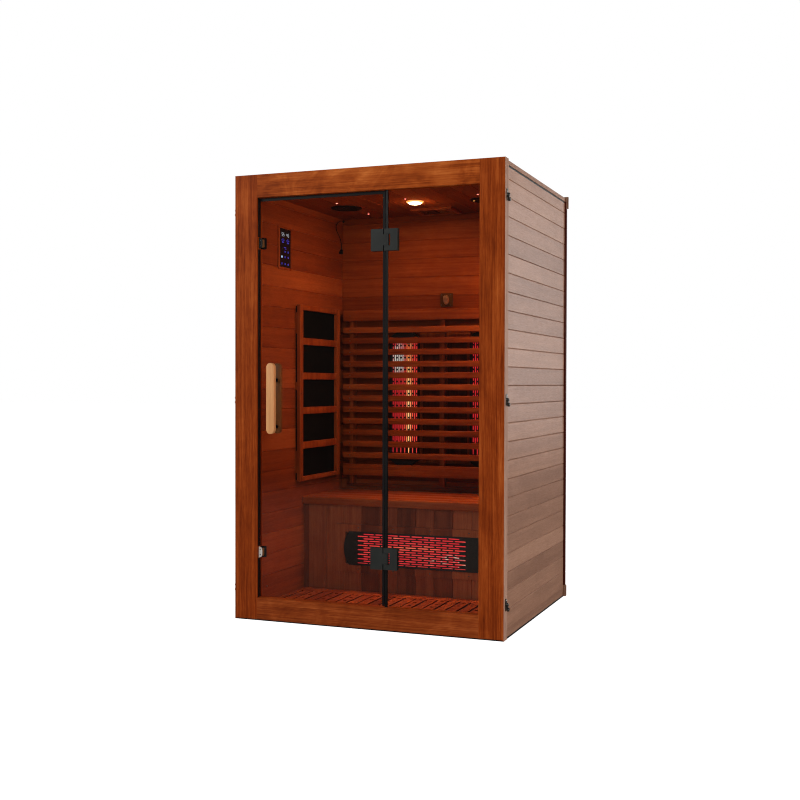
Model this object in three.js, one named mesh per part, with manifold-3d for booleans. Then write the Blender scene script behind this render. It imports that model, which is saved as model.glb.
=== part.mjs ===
// Two-person infrared sauna cabin: boarded timber shell, glass front with a
// hinged glass door, slatted backrest, bench, infrared heaters and fittings.
// Units are millimetres. +X is to the right seen from the front, +Y runs to the
// back, +Z is up. The origin is on the ground, in the middle of the footprint.

import * as THREE from 'three';
import { mergeVertices } from 'three/addons/utils/BufferGeometryUtils.js';
import Module from 'manifold-3d';

const wasm = await Module();
wasm.setup();

// ---------------------------------------------------------------- dimensions
const GAP = 0.3;              // clearance between touching pieces

const HALF_W = 600;           // half the width over the front stiles
const FRONT_Y = -520;         // front face of the front frame
const FRAME_BACK_Y = -475;    // rear face of the front frame
const HEIGHT = 1900;          // top of the front frame
const STILE_IN = 495;         // inner edge of the stiles
const HEADER_Z = 1803;        // lower edge of the header
const SILL_Z = 96;            // upper edge of the sill

const BASE_T = 24;            // floor base thickness
const WALL_OUT = 598.5;       // outer face of the side walls
const WALL_IN = 547;          // inner face of the side walls
const WALL_FRONT_Y = FRAME_BACK_Y + GAP;
const WALL_BACK_Y = 497;      // rear end of the side walls
const WALL_TOP = 1868;
const BACK_IN_Y = 481;        // inner face of the back wall
const BACK_OUT_Y = 520;       // outer face of the back wall
const BACK_HALF_W = 605.5;      // the back panel stands out past the side walls
const CEIL_Z = 1845;
const ROOF_GAP_Z = 1876;      // top of the shadow gap under the roof edge
const ROOF_TOP = 1893;

const OUT_GROOVE_Z0 = 117;    // first outer board joint
const OUT_PITCH = 74.1;       // outer board pitch
const IN_GROOVE_TOP = 1816;   // highest inner board joint
const IN_PITCH = 92;          // inner board pitch

const GLASS_Y = -498;         // middle plane of the glass
const GLASS_T = 8;
const AXIS_X = 93;            // door hinge axis
const POST_R = 6.5;
const BORE_R = 6.9;
const FIXED_GLASS_X0 = 99.8;
const DOOR_X0 = -493.5;        // free edge of the door
const DOOR_X1 = 76;           // hinge edge of the door pane
const DOOR_Z0 = 100;
const DOOR_Z1 = 1787.7;
const SEAL_X1 = 86;           // outer edge of the hinge-side seal
const DOOR_SEAL_TOP = 1801;

const HINGE_Z = [1600, 294];  // hinge centres, upper and lower
const HINGE_H = 45;           // half the hinge height
const HINGE_HT = 10;          // half the hinge thickness
const POCKET_H = 23.5;        // half the height of the knuckle pocket

const HANDLE_X = -423;
const HANDLE_W = 36;
const HANDLE_Z0 = 798;
const HANDLE_Z1 = 1099;
const HANDLE_T = 18;
const HANDLE_STANDOFF = 18;
const HANDLE_BOLT_Z = [1027, 828];

const CATCH_Z = [1610, 290];

const LATCH_Y = -497;
const LATCH_Z = [1756, 950, 142];

const SEAT_TOP = 479;
const SEAT_T = 36;
const SEAT_FRONT_Y = 23;
const BENCH_PANEL_Y = 45;     // front face of the boarded bench front

const SLAT_TOPS = [1293, 1240, 1183.5, 1124, 1068, 1009, 953, 897, 839, 782, 725, 668];
const SLAT_H = 29;
const SLAT_FRONT_Y = 418;
const SLAT_T = 18;
const BACKREST_HALF_W = 514;

// ------------------------------------------------------------------- helpers
function clean(geometry) {
  const g = geometry.clone();
  for (const name of Object.keys(g.attributes)) {
    if (name !== 'position') g.deleteAttribute(name);
  }
  return mergeVertices(g, 1e-3);
}

function solid(geometry) {
  const g = clean(geometry);
  const pos = g.attributes.position.array;
  const idx = g.index.array;
  return new wasm.Manifold(new wasm.Mesh({
    numProp: 3,
    vertProperties: new Float32Array(pos),
    triVerts: new Uint32Array(idx),
  }));
}

function geometryOf(manifold) {
  const m = manifold.getMesh();
  const g = new THREE.BufferGeometry();
  g.setAttribute('position', new THREE.BufferAttribute(new Float32Array(m.vertProperties), 3));
  g.setIndex(new THREE.BufferAttribute(new Uint32Array(m.triVerts), 1));
  g.computeVertexNormals();
  return g;
}

function union(...list) {
  return list.slice(1).reduce((a, b) => a.add(b), list[0]);
}

// axis-aligned block from its limits
function blockGeo(x0, x1, y0, y1, z0, z1) {
  const g = new THREE.BoxGeometry(x1 - x0, y1 - y0, z1 - z0);
  g.translate((x0 + x1) / 2, (y0 + y1) / 2, (z0 + z1) / 2);
  return g;
}
const block = (...a) => solid(blockGeo(...a));

function shapeOf(points, holes = []) {
  const s = new THREE.Shape(points.map(([a, b]) => new THREE.Vector2(a, b)));
  for (const h of holes) s.holes.push(new THREE.Path(h.map(([a, b]) => new THREE.Vector2(a, b))));
  return s;
}

function extrude(points, depth, holes) {
  return new THREE.ExtrudeGeometry(shapeOf(points, holes), { depth, bevelEnabled: false, steps: 1 });
}

// outline in X,Y raised from z0 to z1
function prismZ(points, z0, z1, holes) {
  const g = extrude(points, z1 - z0, holes);
  g.translate(0, 0, z0);
  return g;
}

// outline in X,Z running from y0 to y1
function prismY(points, y0, y1, holes) {
  const g = extrude(points, y1 - y0, holes);
  g.rotateX(Math.PI / 2);
  g.translate(0, y1, 0);
  return g;
}

// outline in Y,Z running from x0 to x1
function prismX(points, x0, x1, holes) {
  const g = extrude(points, x1 - x0, holes);
  g.applyMatrix4(new THREE.Matrix4().makeBasis(
    new THREE.Vector3(0, 1, 0), new THREE.Vector3(0, 0, 1), new THREE.Vector3(1, 0, 0)));
  g.translate(x0, 0, 0);
  return g;
}

function circle(cx, cy, r, n = 24) {
  return Array.from({ length: n }, (_, i) => {
    const a = (i + 0.5) / n * Math.PI * 2;
    return [cx + r * Math.cos(a), cy + r * Math.sin(a)];
  });
}

// rectangle with rounded corners
function rounded(x0, x1, y0, y1, r, n = 4) {
  const pts = [];
  const corners = [[x1 - r, y1 - r, 0], [x0 + r, y1 - r, 1], [x0 + r, y0 + r, 2], [x1 - r, y0 + r, 3]];
  for (const [cx, cy, q] of corners) {
    for (let i = 0; i <= n; i += 1) {
      const a = (q + i / n) * Math.PI / 2;
      pts.push([cx + r * Math.cos(a), cy + r * Math.sin(a)]);
    }
  }
  return pts;
}

const rect = (x0, x1, y0, y1) => [[x0, y0], [x1, y0], [x1, y1], [x0, y1]];

// round body about a vertical axis through (cx, cy); profile is [radius, z]
function turned(profile, cx, cy, n = 24) {
  const g = new THREE.LatheGeometry(profile.map(([r, z]) => new THREE.Vector2(r, z)), n);
  g.rotateX(Math.PI / 2);
  g.translate(cx, cy, 0);
  return g;
}

// board joints along one straight run: returns the points of shallow V grooves
function grooves(positions, width, depth, place) {
  const pts = [];
  for (const p of positions) {
    pts.push(place(p - width / 2, 0), place(p, depth), place(p + width / 2, 0));
  }
  return pts;
}

const root = new THREE.Group();

const WOOD = 0x8a4320;
const WOOD_IN = 0x7d3a1a;
const BLACK = 0x17181a;

function add(name, shape, color, roughness = 0.6, metalness = 0) {
  const geometry = shape instanceof THREE.BufferGeometry ? clean(shape) : geometryOf(shape);
  geometry.computeVertexNormals();
  const material = new THREE.MeshStandardMaterial({ color, roughness, metalness });
  const mesh = new THREE.Mesh(geometry, material);
  mesh.name = name;
  root.add(mesh);
  return mesh;
}

// --------------------------------------------------------------------- shell
add('floor_base', blockGeo(-597, 597, WALL_FRONT_Y, WALL_BACK_Y, 0, BASE_T), 0x6a3319, 0.7);

// duckboard: one plate with long slots between its slats
{
  const x0 = -536, x1 = 536, y0 = -470, y1 = 30;
  const pitch = 51.25;
  let plate = block(x0, x1, y0, y1, 34, 48);
  for (let i = 0; i < 21; i += 1) {
    const x = -507 + i * pitch;
    plate = plate.subtract(block(x - 5, x + 5, y0 + 45, y1 - 76, 30, 52));
  }
  const bearers = [-455, -210, 15].map((y) => block(x0, x1, y - 15, y + 15, BASE_T + GAP, 35));
  add('duckboard', union(plate, ...bearers), 0x8c3a1e, 0.6);
}

const outJoints = Array.from({ length: 24 }, (_, k) => OUT_GROOVE_Z0 + OUT_PITCH * k);
const inJoints = Array.from({ length: 19 }, (_, k) => IN_GROOVE_TOP - IN_PITCH * k);

// side wall: boards outside and inside, one section run front to back
function sideWall(sign) {
  const z0 = BASE_T + GAP, z1 = WALL_TOP;
  const up = grooves(outJoints, 5, 3.5, (z, d) => [sign * (WALL_OUT - d), z]);
  const down = grooves([...inJoints], 4.5, 3, (z, d) => [sign * (WALL_IN + d), z])
    .sort((a, b) => b[1] - a[1]);
  let pts = [[sign * WALL_OUT, z0], ...up, [sign * WALL_OUT, z1], [sign * WALL_IN, z1], ...down, [sign * WALL_IN, z0]];
  if (sign < 0) pts = pts.reverse();
  return prismY(pts, WALL_FRONT_Y, WALL_BACK_Y);
}
add('left_wall', sideWall(-1), WOOD_IN, 0.6);
add('right_wall', sideWall(1), WOOD_IN, 0.6);

// back wall: boarded inner skin between the side walls, outer skin past them,
// and a rail along the top and bottom of the rear face
{
  const inner = [[BACK_IN_Y, BASE_T + GAP]];
  const joints = grooves([...inJoints].reverse(), 4.5, 3, (z, d) => [BACK_IN_Y + d, z]);
  const pts = [[500, BASE_T + GAP], [500, CEIL_Z - GAP], [BACK_IN_Y, CEIL_Z - GAP], ...joints.reverse(), ...inner];
  const skin = solid(prismX(pts, -WALL_IN + GAP, WALL_IN - GAP));
  const rear = grooves(outJoints, 5, 3.5, (z, d) => [BACK_OUT_Y - d, z]);
  const outerPts = [[WALL_BACK_Y + GAP, 2], [BACK_OUT_Y, 2], ...rear, [BACK_OUT_Y, 1889], [WALL_BACK_Y + GAP, 1889]];
  const outer = solid(prismX(outerPts, -BACK_HALF_W, BACK_HALF_W));
  const top = block(-611, 611, 512, 527, 1845, 1900);
  const bottom = block(-607, 607, 512, 534, 0, 52);
  add('back_wall', union(skin, outer, top, bottom), WOOD_IN, 0.6);
}

// roof: ceiling boards between the walls, shadow gap, overhanging edge, vent hole
const VENT_HOLE = [10, 88, 285, 395];
{
  const joints = Array.from({ length: 11 }, (_, k) => -460 + 92 * k);
  const under = grooves(joints, 4.5, 3, (x, d) => [x, CEIL_Z + d]);
  const pts = [
    [-WALL_IN + GAP, CEIL_Z], ...under, [WALL_IN - GAP, CEIL_Z],
    [WALL_IN - GAP, WALL_TOP + GAP], [586, WALL_TOP + GAP], [586, ROOF_GAP_Z],
    [HALF_W, ROOF_GAP_Z], [HALF_W, ROOF_TOP], [-HALF_W, ROOF_TOP], [-HALF_W, ROOF_GAP_Z],
    [-586, ROOF_GAP_Z], [-586, WALL_TOP + GAP], [-WALL_IN + GAP, WALL_TOP + GAP],
  ];
  const slab = solid(prismY(pts, WALL_FRONT_Y, WALL_BACK_Y));
  const hole = block(VENT_HOLE[0], VENT_HOLE[1], VENT_HOLE[2], VENT_HOLE[3], CEIL_Z - 5, ROOF_TOP + 5);
  add('roof_panel', slab.subtract(hole), WOOD_IN, 0.6);
}

// --------------------------------------------------------------- front frame
add('left_stile', blockGeo(-HALF_W, -STILE_IN, FRONT_Y, FRAME_BACK_Y, 0, HEIGHT), WOOD, 0.5);

// the right stile has a rebate that takes the edge of the fixed pane
add('right_stile', prismZ([
  [STILE_IN, FRONT_Y], [HALF_W, FRONT_Y], [HALF_W, FRAME_BACK_Y], [STILE_IN, FRAME_BACK_Y],
  [STILE_IN, GLASS_Y + 4.4], [STILE_IN + 9, GLASS_Y + 4.4], [STILE_IN + 9, GLASS_Y - 4.4], [STILE_IN, GLASS_Y - 4.4],
], 0, HEIGHT), WOOD, 0.5);

const RAIL_HALF = STILE_IN - GAP;
{
  const rail = block(-RAIL_HALF, RAIL_HALF, FRONT_Y, FRAME_BACK_Y, HEADER_Z, HEIGHT);
  const slot = block(FIXED_GLASS_X0 - 1, STILE_IN + 5, GLASS_Y - 4.4, GLASS_Y + 4.4, HEADER_Z - 2, HEADER_Z + 9);
  const socket = solid(prismZ(circle(AXIS_X, GLASS_Y, BORE_R), HEADER_Z - 2, HEADER_Z + 16));
  add('header_rail', rail.subtract(slot).subtract(socket), WOOD, 0.5);
}
{
  const rail = block(-RAIL_HALF, RAIL_HALF, FRONT_Y, FRAME_BACK_Y, 0, SILL_Z);
  const slot = block(FIXED_GLASS_X0 - 1, STILE_IN + 5, GLASS_Y - 4.4, GLASS_Y + 4.4, SILL_Z - 9, SILL_Z + 2);
  const socket = solid(prismZ(circle(AXIS_X, GLASS_Y, BORE_R), SILL_Z - 16, SILL_Z + 2));
  add('sill_rail', rail.subtract(slot).subtract(socket), WOOD, 0.5);
}

// ------------------------------------------------------------ glass and door
const NOTCH = HINGE_H + GAP;
{
  const x0 = FIXED_GLASS_X0, x1 = STILE_IN + 8.7, xn = 120.1;
  const z0 = SILL_Z - 8.7, z1 = HEADER_Z + 8.7;
  const pts = [[x0, z0], [x1, z0], [x1, z1], [x0, z1]];
  for (const hz of HINGE_Z) {
    pts.push([x0, hz + NOTCH], [xn, hz + NOTCH], [xn, hz - NOTCH], [x0, hz - NOTCH]);
  }
  add('fixed_glass', prismY(pts, GLASS_Y - GLASS_T / 2, GLASS_Y + GLASS_T / 2), 0xb9c4c0, 0.05);
}

// the round post carries both hinges and closes the edge of the fixed pane
add('pivot_post', prismZ(circle(AXIS_X, GLASS_Y, POST_R), SILL_Z - 15.5, HEADER_Z + 15.5), BLACK, 0.4, 0.3);

{
  const xn = 51.5;
  const pts = [[DOOR_X0, DOOR_Z0], [DOOR_X1, DOOR_Z0]];
  for (const hz of [...HINGE_Z].reverse()) {
    pts.push([DOOR_X1, hz - NOTCH], [xn, hz - NOTCH], [xn, hz + NOTCH], [DOOR_X1, hz + NOTCH]);
  }
  pts.push([DOOR_X1, DOOR_Z1], [DOOR_X0, DOOR_Z1]);
  const boltHoles = HANDLE_BOLT_Z.map((z) => circle(HANDLE_X, z, 5.7, 12));
  add('door_glass', prismY(pts, GLASS_Y - GLASS_T / 2, GLASS_Y + GLASS_T / 2, boltHoles), 0xb9c4c0, 0.05);
}

// door seals: the upper one turns the corner and runs along the top of the door
{
  const sx0 = DOOR_X1 + GAP, sy0 = GLASS_Y - 4, sy1 = GLASS_Y + 4;
  const top = [
    [DOOR_X0, DOOR_Z1 + GAP], [sx0, DOOR_Z1 + GAP], [sx0, HINGE_Z[0] + NOTCH], [SEAL_X1, HINGE_Z[0] + NOTCH],
    [SEAL_X1, DOOR_SEAL_TOP], [DOOR_X0, DOOR_SEAL_TOP],
  ];
  add('door_seal_upper', prismY(top, sy0, sy1), BLACK, 0.75);
  add('door_seal_middle', blockGeo(sx0, SEAL_X1, sy0, sy1, HINGE_Z[1] + NOTCH, HINGE_Z[0] - NOTCH), BLACK, 0.75);
  add('door_seal_lower', blockGeo(sx0, SEAL_X1, sy0, sy1, DOOR_Z0, HINGE_Z[1] - NOTCH), BLACK, 0.75);
}

// glass-to-glass hinge: the fixed leaf has two knuckles, the door leaf one
// between them, all three on the round post
function fixedLeaf(zc) {
  const y0 = GLASS_Y - HINGE_HT, y1 = GLASS_Y + HINGE_HT;
  let body = union(
    block(AXIS_X, 143, y0, y1, zc - HINGE_H, zc + HINGE_H),
    solid(prismZ(circle(AXIS_X, GLASS_Y, 13, 24), zc - HINGE_H, zc + HINGE_H))
      .intersect(block(AXIS_X - 20, AXIS_X + 20, y0, y1, zc - HINGE_H, zc + HINGE_H)),
  );
  body = body.subtract(block(119.8, 150, GLASS_Y - 4.3, GLASS_Y + 4.3, zc - 60, zc + 60));
  body = body.subtract(block(AXIS_X - 30, 110, y0 - 2, y1 + 2, zc - POCKET_H, zc + POCKET_H));
  return body.subtract(solid(prismZ(circle(AXIS_X, GLASS_Y, BORE_R), zc - 60, zc + 60)));
}

function doorLeaf(zc) {
  const y0 = GLASS_Y - HINGE_HT, y1 = GLASS_Y + HINGE_HT;
  const tongue = POCKET_H - 0.8;
  let body = union(
    block(25.5, 79.5, y0, y1, zc - HINGE_H, zc + HINGE_H),
    block(79, AXIS_X, y0, y1, zc - tongue, zc + tongue),
    solid(prismZ(circle(AXIS_X, GLASS_Y, HINGE_HT, 24), zc - tongue, zc + tongue)),
  );
  body = body.subtract(block(20, 51.8, GLASS_Y - 4.3, GLASS_Y + 4.3, zc - 60, zc + 60));
  return body.subtract(solid(prismZ(circle(AXIS_X, GLASS_Y, BORE_R), zc - 60, zc + 60)));
}

['upper', 'lower'].forEach((which, i) => {
  add(`${which}_hinge_fixed_leaf`, fixedLeaf(HINGE_Z[i]), 0x2b2d2f, 0.45, 0.6);
  add(`${which}_hinge_door_leaf`, doorLeaf(HINGE_Z[i]), 0x2b2d2f, 0.45, 0.6);
});

// door handle: a bar on each side of the pane, on two through bolts
{
  const outline = rounded(HANDLE_X - HANDLE_W / 2, HANDLE_X + HANDLE_W / 2, HANDLE_Z0, HANDLE_Z1, HANDLE_W / 2 - 0.1, 8);
  const half = GLASS_T / 2 + HANDLE_STANDOFF;
  const bores = (a, b) => HANDLE_BOLT_Z.map((z) => solid(prismY(circle(HANDLE_X, z, 5.4, 12), a, b)));
  let outer = solid(prismY(outline, GLASS_Y - half - HANDLE_T, GLASS_Y - half));
  for (const b of bores(GLASS_Y - half - 12, GLASS_Y - half + 2)) outer = outer.subtract(b);
  add('handle_outer', outer, 0xc38a55, 0.5);
  let inner = solid(prismY(outline, GLASS_Y + half, GLASS_Y + half + HANDLE_T));
  for (const b of bores(GLASS_Y + half - 2, GLASS_Y + half + 12)) inner = inner.subtract(b);
  add('handle_inner', inner, 0xc38a55, 0.5);
  ['upper', 'lower'].forEach((which, i) => {
    const z = HANDLE_BOLT_Z[i];
    const stem = solid(prismY(circle(HANDLE_X, z, 5, 12), GLASS_Y - half - 11.5, GLASS_Y + half + 11.5));
    const near = solid(prismY(circle(HANDLE_X, z, 8, 12), GLASS_Y - half + GAP, GLASS_Y - GLASS_T / 2 - GAP));
    const far = solid(prismY(circle(HANDLE_X, z, 8, 12), GLASS_Y + GLASS_T / 2 + GAP, GLASS_Y + half - GAP));
    add(`handle_bolt_${which}`, union(stem, near, far), 0x1d1d1e, 0.4, 0.8);
  });
}

// catches: strike plate on the free edge of the door, magnet block on the stile
['upper', 'lower'].forEach((which, i) => {
  const z = CATCH_Z[i];
  const h = 23;
  const x0 = DOOR_X0, x1 = DOOR_X0 + 16;
  const d = [[x0, z - h], ...Array.from({ length: 9 }, (_, k) => {
    const a = -Math.PI / 2 + k / 8 * Math.PI;
    const r = 14;
    const cz = k < 4 ? z - h + r : k > 4 ? z + h - r : z;
    return k === 4 ? [x1, z] : [x1 - r + r * Math.cos(a), cz + r * Math.sin(a)];
  }), [x0, z + h]];
  add(`strike_plate_${which}`, prismY(d, GLASS_Y - 7, GLASS_Y - GLASS_T / 2 - GAP), 0xb9b9b6, 0.35, 0.5);
  const body = rounded(-STILE_IN + GAP, -468, z - 24, z + 24, 4, 2);
  add(`magnet_block_${which}`, prismY(body, GLASS_Y + GLASS_T / 2 + 0.6, GLASS_Y + 18), 0x232323, 0.5);
});

// -------------------------------------------------------------- side latches
// turn latches that pull the front frame against the side walls
function latch(sign, z) {
  const x = (d) => sign * (HALF_W + d);
  const disc = (r, d0, d1) => solid(prismX(circle(LATCH_Y, z, r, 20), Math.min(x(d0), x(d1)), Math.max(x(d0), x(d1))));
  const arm = rounded(LATCH_Y - 5.5, LATCH_Y + 5.5, z - 26, z + 7, 5.4, 3);
  const blade = solid(prismX(arm, Math.min(x(4), x(10)), Math.max(x(4), x(10))));
  const knob = solid(prismX(circle(LATCH_Y, z - 19, 7.5, 16), Math.min(x(4), x(16)), Math.max(x(4), x(16))));
  return union(disc(10, GAP, 5), blade, knob);
}
['top', 'middle', 'bottom'].forEach((which, i) => {
  add(`right_latch_${which}`, latch(1, LATCH_Z[i]), 0x3a3a38, 0.4, 0.8);
  add(`left_latch_${which}`, latch(-1, LATCH_Z[i]), 0x3a3a38, 0.4, 0.8);
});

// ----------------------------------------------------------- wall equipment
{
  const y0 = -230, y1 = -102, z0 = 1530, z1 = 1725;
  const w = rect(-217.3, -110.7, 1540.7, 1716.3);
  add('control_bezel', prismX(rounded(y0, y1, z0, z1, 8, 3), -WALL_IN + GAP, -541.5, [w]), 0x8a4a26, 0.55);
  add('control_screen', prismX(rect(-217, -111, 1541, 1716), -WALL_IN + GAP, -542.6), 0x050608, 0.08);
}

// carbon heaters on the side walls: black panel behind a frame with five windows
function carbonFrame(sign) {
  const y0 = -52, y1 = 396, z0 = 555, z1 = 1380;
  const xa = sign < 0 ? -539 : 521, xb = sign < 0 ? -521 : 539;
  let frame = block(xa, xb, y0, y1, z0, z1);
  for (let k = 0; k < 5; k += 1) {
    const zt = 1357 - k * 162.75;
    frame = frame.subtract(block(xa - 2, xb + 2, -19, 362, zt - 131, zt));
  }
  return frame;
}
add('left_heater_frame', carbonFrame(-1), WOOD_IN, 0.55);
add('right_heater_frame', carbonFrame(1), WOOD_IN, 0.55);
add('left_heater_panel', blockGeo(-WALL_IN + GAP, -539.3, -47, 391, 562, 1373), 0x111112, 0.8);
add('right_heater_panel', blockGeo(539.3, WALL_IN - GAP, -47, 391, 562, 1373), 0x111112, 0.8);

// slatted backrest: rails and slats on upright battens fixed to the back wall
{
  const y0 = SLAT_FRONT_Y, y1 = SLAT_FRONT_Y + SLAT_T;
  const bars = [block(-BACKREST_HALF_W, BACKREST_HALF_W, y0, y1, 1324.5, 1378)];
  for (const t of SLAT_TOPS) bars.push(block(-BACKREST_HALF_W, BACKREST_HALF_W, y0, y1, t - SLAT_H, t));
  bars.push(block(-BACKREST_HALF_W, BACKREST_HALF_W, y0, y1, 552, 609));
  for (const [a, b, back] of [[-486, -466, BACK_IN_Y - GAP], [-6, 20, 461.7], [466, 486, BACK_IN_Y - GAP]]) {
    bars.push(block(a, b, y1 - 1, back, 500, 1378));
  }
  bars.push(block(-BACKREST_HALF_W, BACKREST_HALF_W, 466, BACK_IN_Y - GAP, 494, 508));
  bars.push(block(-BACKREST_HALF_W, BACKREST_HALF_W, y1 - 1, BACK_IN_Y - GAP, 1366, 1378));
  add('backrest', union(...bars), WOOD_IN, 0.55);
}

// heater housing: a shallow box with arched ends, open at the back, with slots
// over the glowing rod; drawn upright in a local plane and placed by the caller
function heaterOutline(cx, half, z0, z1, rise) {
  const pts = [];
  const n = 8;
  for (let i = 0; i <= n; i += 1) {
    const t = -1 + 2 * i / n;
    pts.push([cx + half * t, z0 + rise * Math.abs(t) ** 2.4]);
  }
  for (let i = 0; i <= n; i += 1) {
    const t = 1 - 2 * i / n;
    pts.push([cx + half * t, z1 - rise * Math.abs(t) ** 2.4]);
  }
  return pts;
}

function rearHeater(cx) {
  const z0 = 603, z1 = 1272, half = 75;
  const slots = [];
  for (let c = 0; c < 4; c += 1) {
    const x = cx - 46.5 + c * 31;
    slots.push(rect(x - 9, x + 9, 640, 1196));
  }
  const face = solid(prismY(heaterOutline(cx, half, z0, z1, 34), 446, 480.7));
  const hollow = solid(prismY(heaterOutline(cx, half - 4, z0 + 4, z1 - 4, 32), 449, 490));
  let body = face.subtract(hollow);
  for (const s of slots) body = body.subtract(solid(prismY(s, 440, 452)));
  return body;
}
add('rear_left_heater', rearHeater(-197), BLACK, 0.5, 0.4);
add('rear_right_heater', rearHeater(221), BLACK, 0.5, 0.4);
for (const [name, cx] of [['rear_left_rod', -197], ['rear_right_rod', 221]]) {
  add(name, prismZ(circle(cx + 18, 465, 8, 12), 610.5, 1264.5), 0xff5a2a, 0.5);
}

// framed panel between the two upright heaters, with a recessed field on each
// side of the middle batten
add('rear_centre_panel', block(-118, 142, 462, BACK_IN_Y - GAP, 622, 1264)
  .subtract(block(-104, -9, 455, 472, 648, 1240))
  .subtract(block(23, 128, 455, 472, 648, 1240)), 0x5a2a14, 0.6);

// ---------------------------------------------------------------------- bench
add('bench_seat', blockGeo(-WALL_IN + GAP, WALL_IN - GAP, SEAT_FRONT_Y, BACK_IN_Y - GAP, SEAT_TOP - SEAT_T, SEAT_TOP), WOOD, 0.5);

// boarded bench front with the opening for the lying heater
{
  const y0 = BENCH_PANEL_Y, y1 = BENCH_PANEL_Y + 20;
  const joints = Array.from({ length: 11 }, (_, k) => -432 + 90 * k).filter((x) => x < 540);
  const front = grooves(joints, 4, 2.5, (x, d) => [x, y0 + d]);
  const pts = [[-WALL_IN + GAP, y0], ...front, [WALL_IN - GAP, y0], [WALL_IN - GAP, y1], [-WALL_IN + GAP, y1]];
  const panel = solid(prismZ(pts, BASE_T + GAP, SEAT_TOP - SEAT_T - GAP));
  add('bench_front_panel', panel.subtract(block(-332, 344, y0 - 5, y1 + 5, 168, 322)), WOOD_IN, 0.6);
}

// heater board: a flat frame round the lying heater, screwed to the bench front
add('bench_heater_board', block(-376, 388, BENCH_PANEL_Y - 8, BENCH_PANEL_Y - GAP, 132, 356)
  .subtract(block(-330, 342, BENCH_PANEL_Y - 20, BENCH_PANEL_Y + 5, 170.5, 319.5)), WOOD_IN, 0.6);

// lying heater: the flange of its housing sits on the board
{
  const cx = 6, zc = 245, half = 78;
  const outline = (h, l0, l1, rise) => heaterOutline(zc, h, l0, l1, rise).map(([a, b]) => [b, a]).reverse();
  const flange = solid(prismY(outline(half, cx - 340, cx + 340, 26), 31, BENCH_PANEL_Y - 8 - GAP));
  const tub = solid(prismY(outline(half - 5, cx - 334, cx + 334, 24), 32, 74));
  const hollow = solid(prismY(outline(half - 9, cx - 330, cx + 330, 22), 34.5, 90));
  let body = union(flange, tub).subtract(hollow);
  for (let r = 0; r < 4; r += 1) {
    const z = zc - 48 + r * 32;
    body = body.subtract(block(cx - 271, cx + 282, 20, 38, z - 9, z + 9));
  }
  add('bench_heater', body, BLACK, 0.5, 0.4);
  add('bench_heater_rod', prismX(circle(54, zc + 10, 8, 12), cx - 327, cx + 327), 0xff5a2a, 0.5);
}

// -------------------------------------------------------------------- ceiling
add('ceiling_lamp', turned([[0, CEIL_Z - 16], [22, CEIL_Z - 14], [34, CEIL_Z - 10], [38, CEIL_Z - 5], [38, CEIL_Z - GAP], [0, CEIL_Z - GAP]], 5, 60), 0xfff0d0, 0.3);
for (const [name, cx] of [['left_speaker', -365], ['right_speaker', 327]]) {
  add(name, turned([[0, CEIL_Z - 4.5], [56, CEIL_Z - 4], [62, CEIL_Z - 7.5], [72, CEIL_Z - 6], [74, CEIL_Z - GAP], [0, CEIL_Z - GAP]], cx, 125, 24), 0x101010, 0.6);
}

// air vent: a frame under the roof hole and a cover that slides along X in it
{
  const z0 = 1833, zl = 1838.2, z1 = CEIL_Z - GAP;
  const outer = block(-90, 112, 255, 425, z0, z1);
  const upper = block(-79.5, 101.5, 265.5, 414.5, zl, z1 + 2);
  const window = block(-70, 92, 272, 408, z0 - 2, zl + 2);
  add('vent_frame', outer.subtract(upper).subtract(window), WOOD_IN, 0.6);
  const plate = block(-78.5, 3.5, 266.2, 413.8, zl + GAP, z1 - GAP);
  const knob = solid(turned([[0, 1822], [5, 1822.5], [7, 1825], [5, 1830], [4, 1833], [4, 1840], [0, 1840]], -32, 334, 16));
  add('vent_slider', union(plate, knob), 0x7d3a1a, 0.6);
}

// ------------------------------------------------------ sensor, hook, supply
{
  const foot = block(-WALL_IN + GAP, -533, 437, 463, 1668, 1680);
  const stem = block(-546, -536, 451, 463, 1678, 1692);
  add('temperature_sensor', union(foot, stem), 0x0d0d0d, 0.5);
}

const CORD_R = 2;
const CORD_PATH = [
  [-541, 480.5, 1836], [-541, 468, 1836], [-541, 445, 1833], [-541, 420, 1825], [-541, 400, 1813],
  [-541, 391, 1798], [-541, 396, 1781], [-541, 412, 1767], [-541, 432, 1752], [-541, 448, 1733],
  [-541, 456, 1712], [-541, 457, 1700], [-541, 457, 1692.3],
];
{
  const curve = new THREE.CatmullRomCurve3(CORD_PATH.map((p) => new THREE.Vector3(...p)), false, 'centripetal');
  const section = new THREE.Shape(circle(0, 0, CORD_R, 8).map(([a, b]) => new THREE.Vector2(a, b)));
  add('sensor_cord', new THREE.ExtrudeGeometry(section, { steps: 26, bevelEnabled: false, extrudePath: curve }), 0x0b0b0b, 0.6);
}

{
  const plate = solid(prismY(rounded(-16, 48, 1391, 1457, 5, 3), 474, BACK_IN_Y - GAP));
  const oval = Array.from({ length: 24 }, (_, i) => {
    const t = (i + 0.5) / 24 * Math.PI * 2;
    return [17 + 15 * Math.cos(t), 1423 + 24 * Math.sin(t)];
  });
  const peg = solid(prismY(oval, 456, 475));
  const cap = solid(prismY(circle(17, 1434, 10, 20), 444, 457));
  add('robe_hook', union(plate, peg, cap), 0x6b3a20, 0.5);
}

add('power_box', blockGeo(180, 470, 190, 400, BASE_T + GAP, 112), 0x3a3d40, 0.5, 0.6);

export default root;
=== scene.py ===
import math
import random

import bmesh
import bpy
from mathutils import Matrix, Vector


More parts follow.
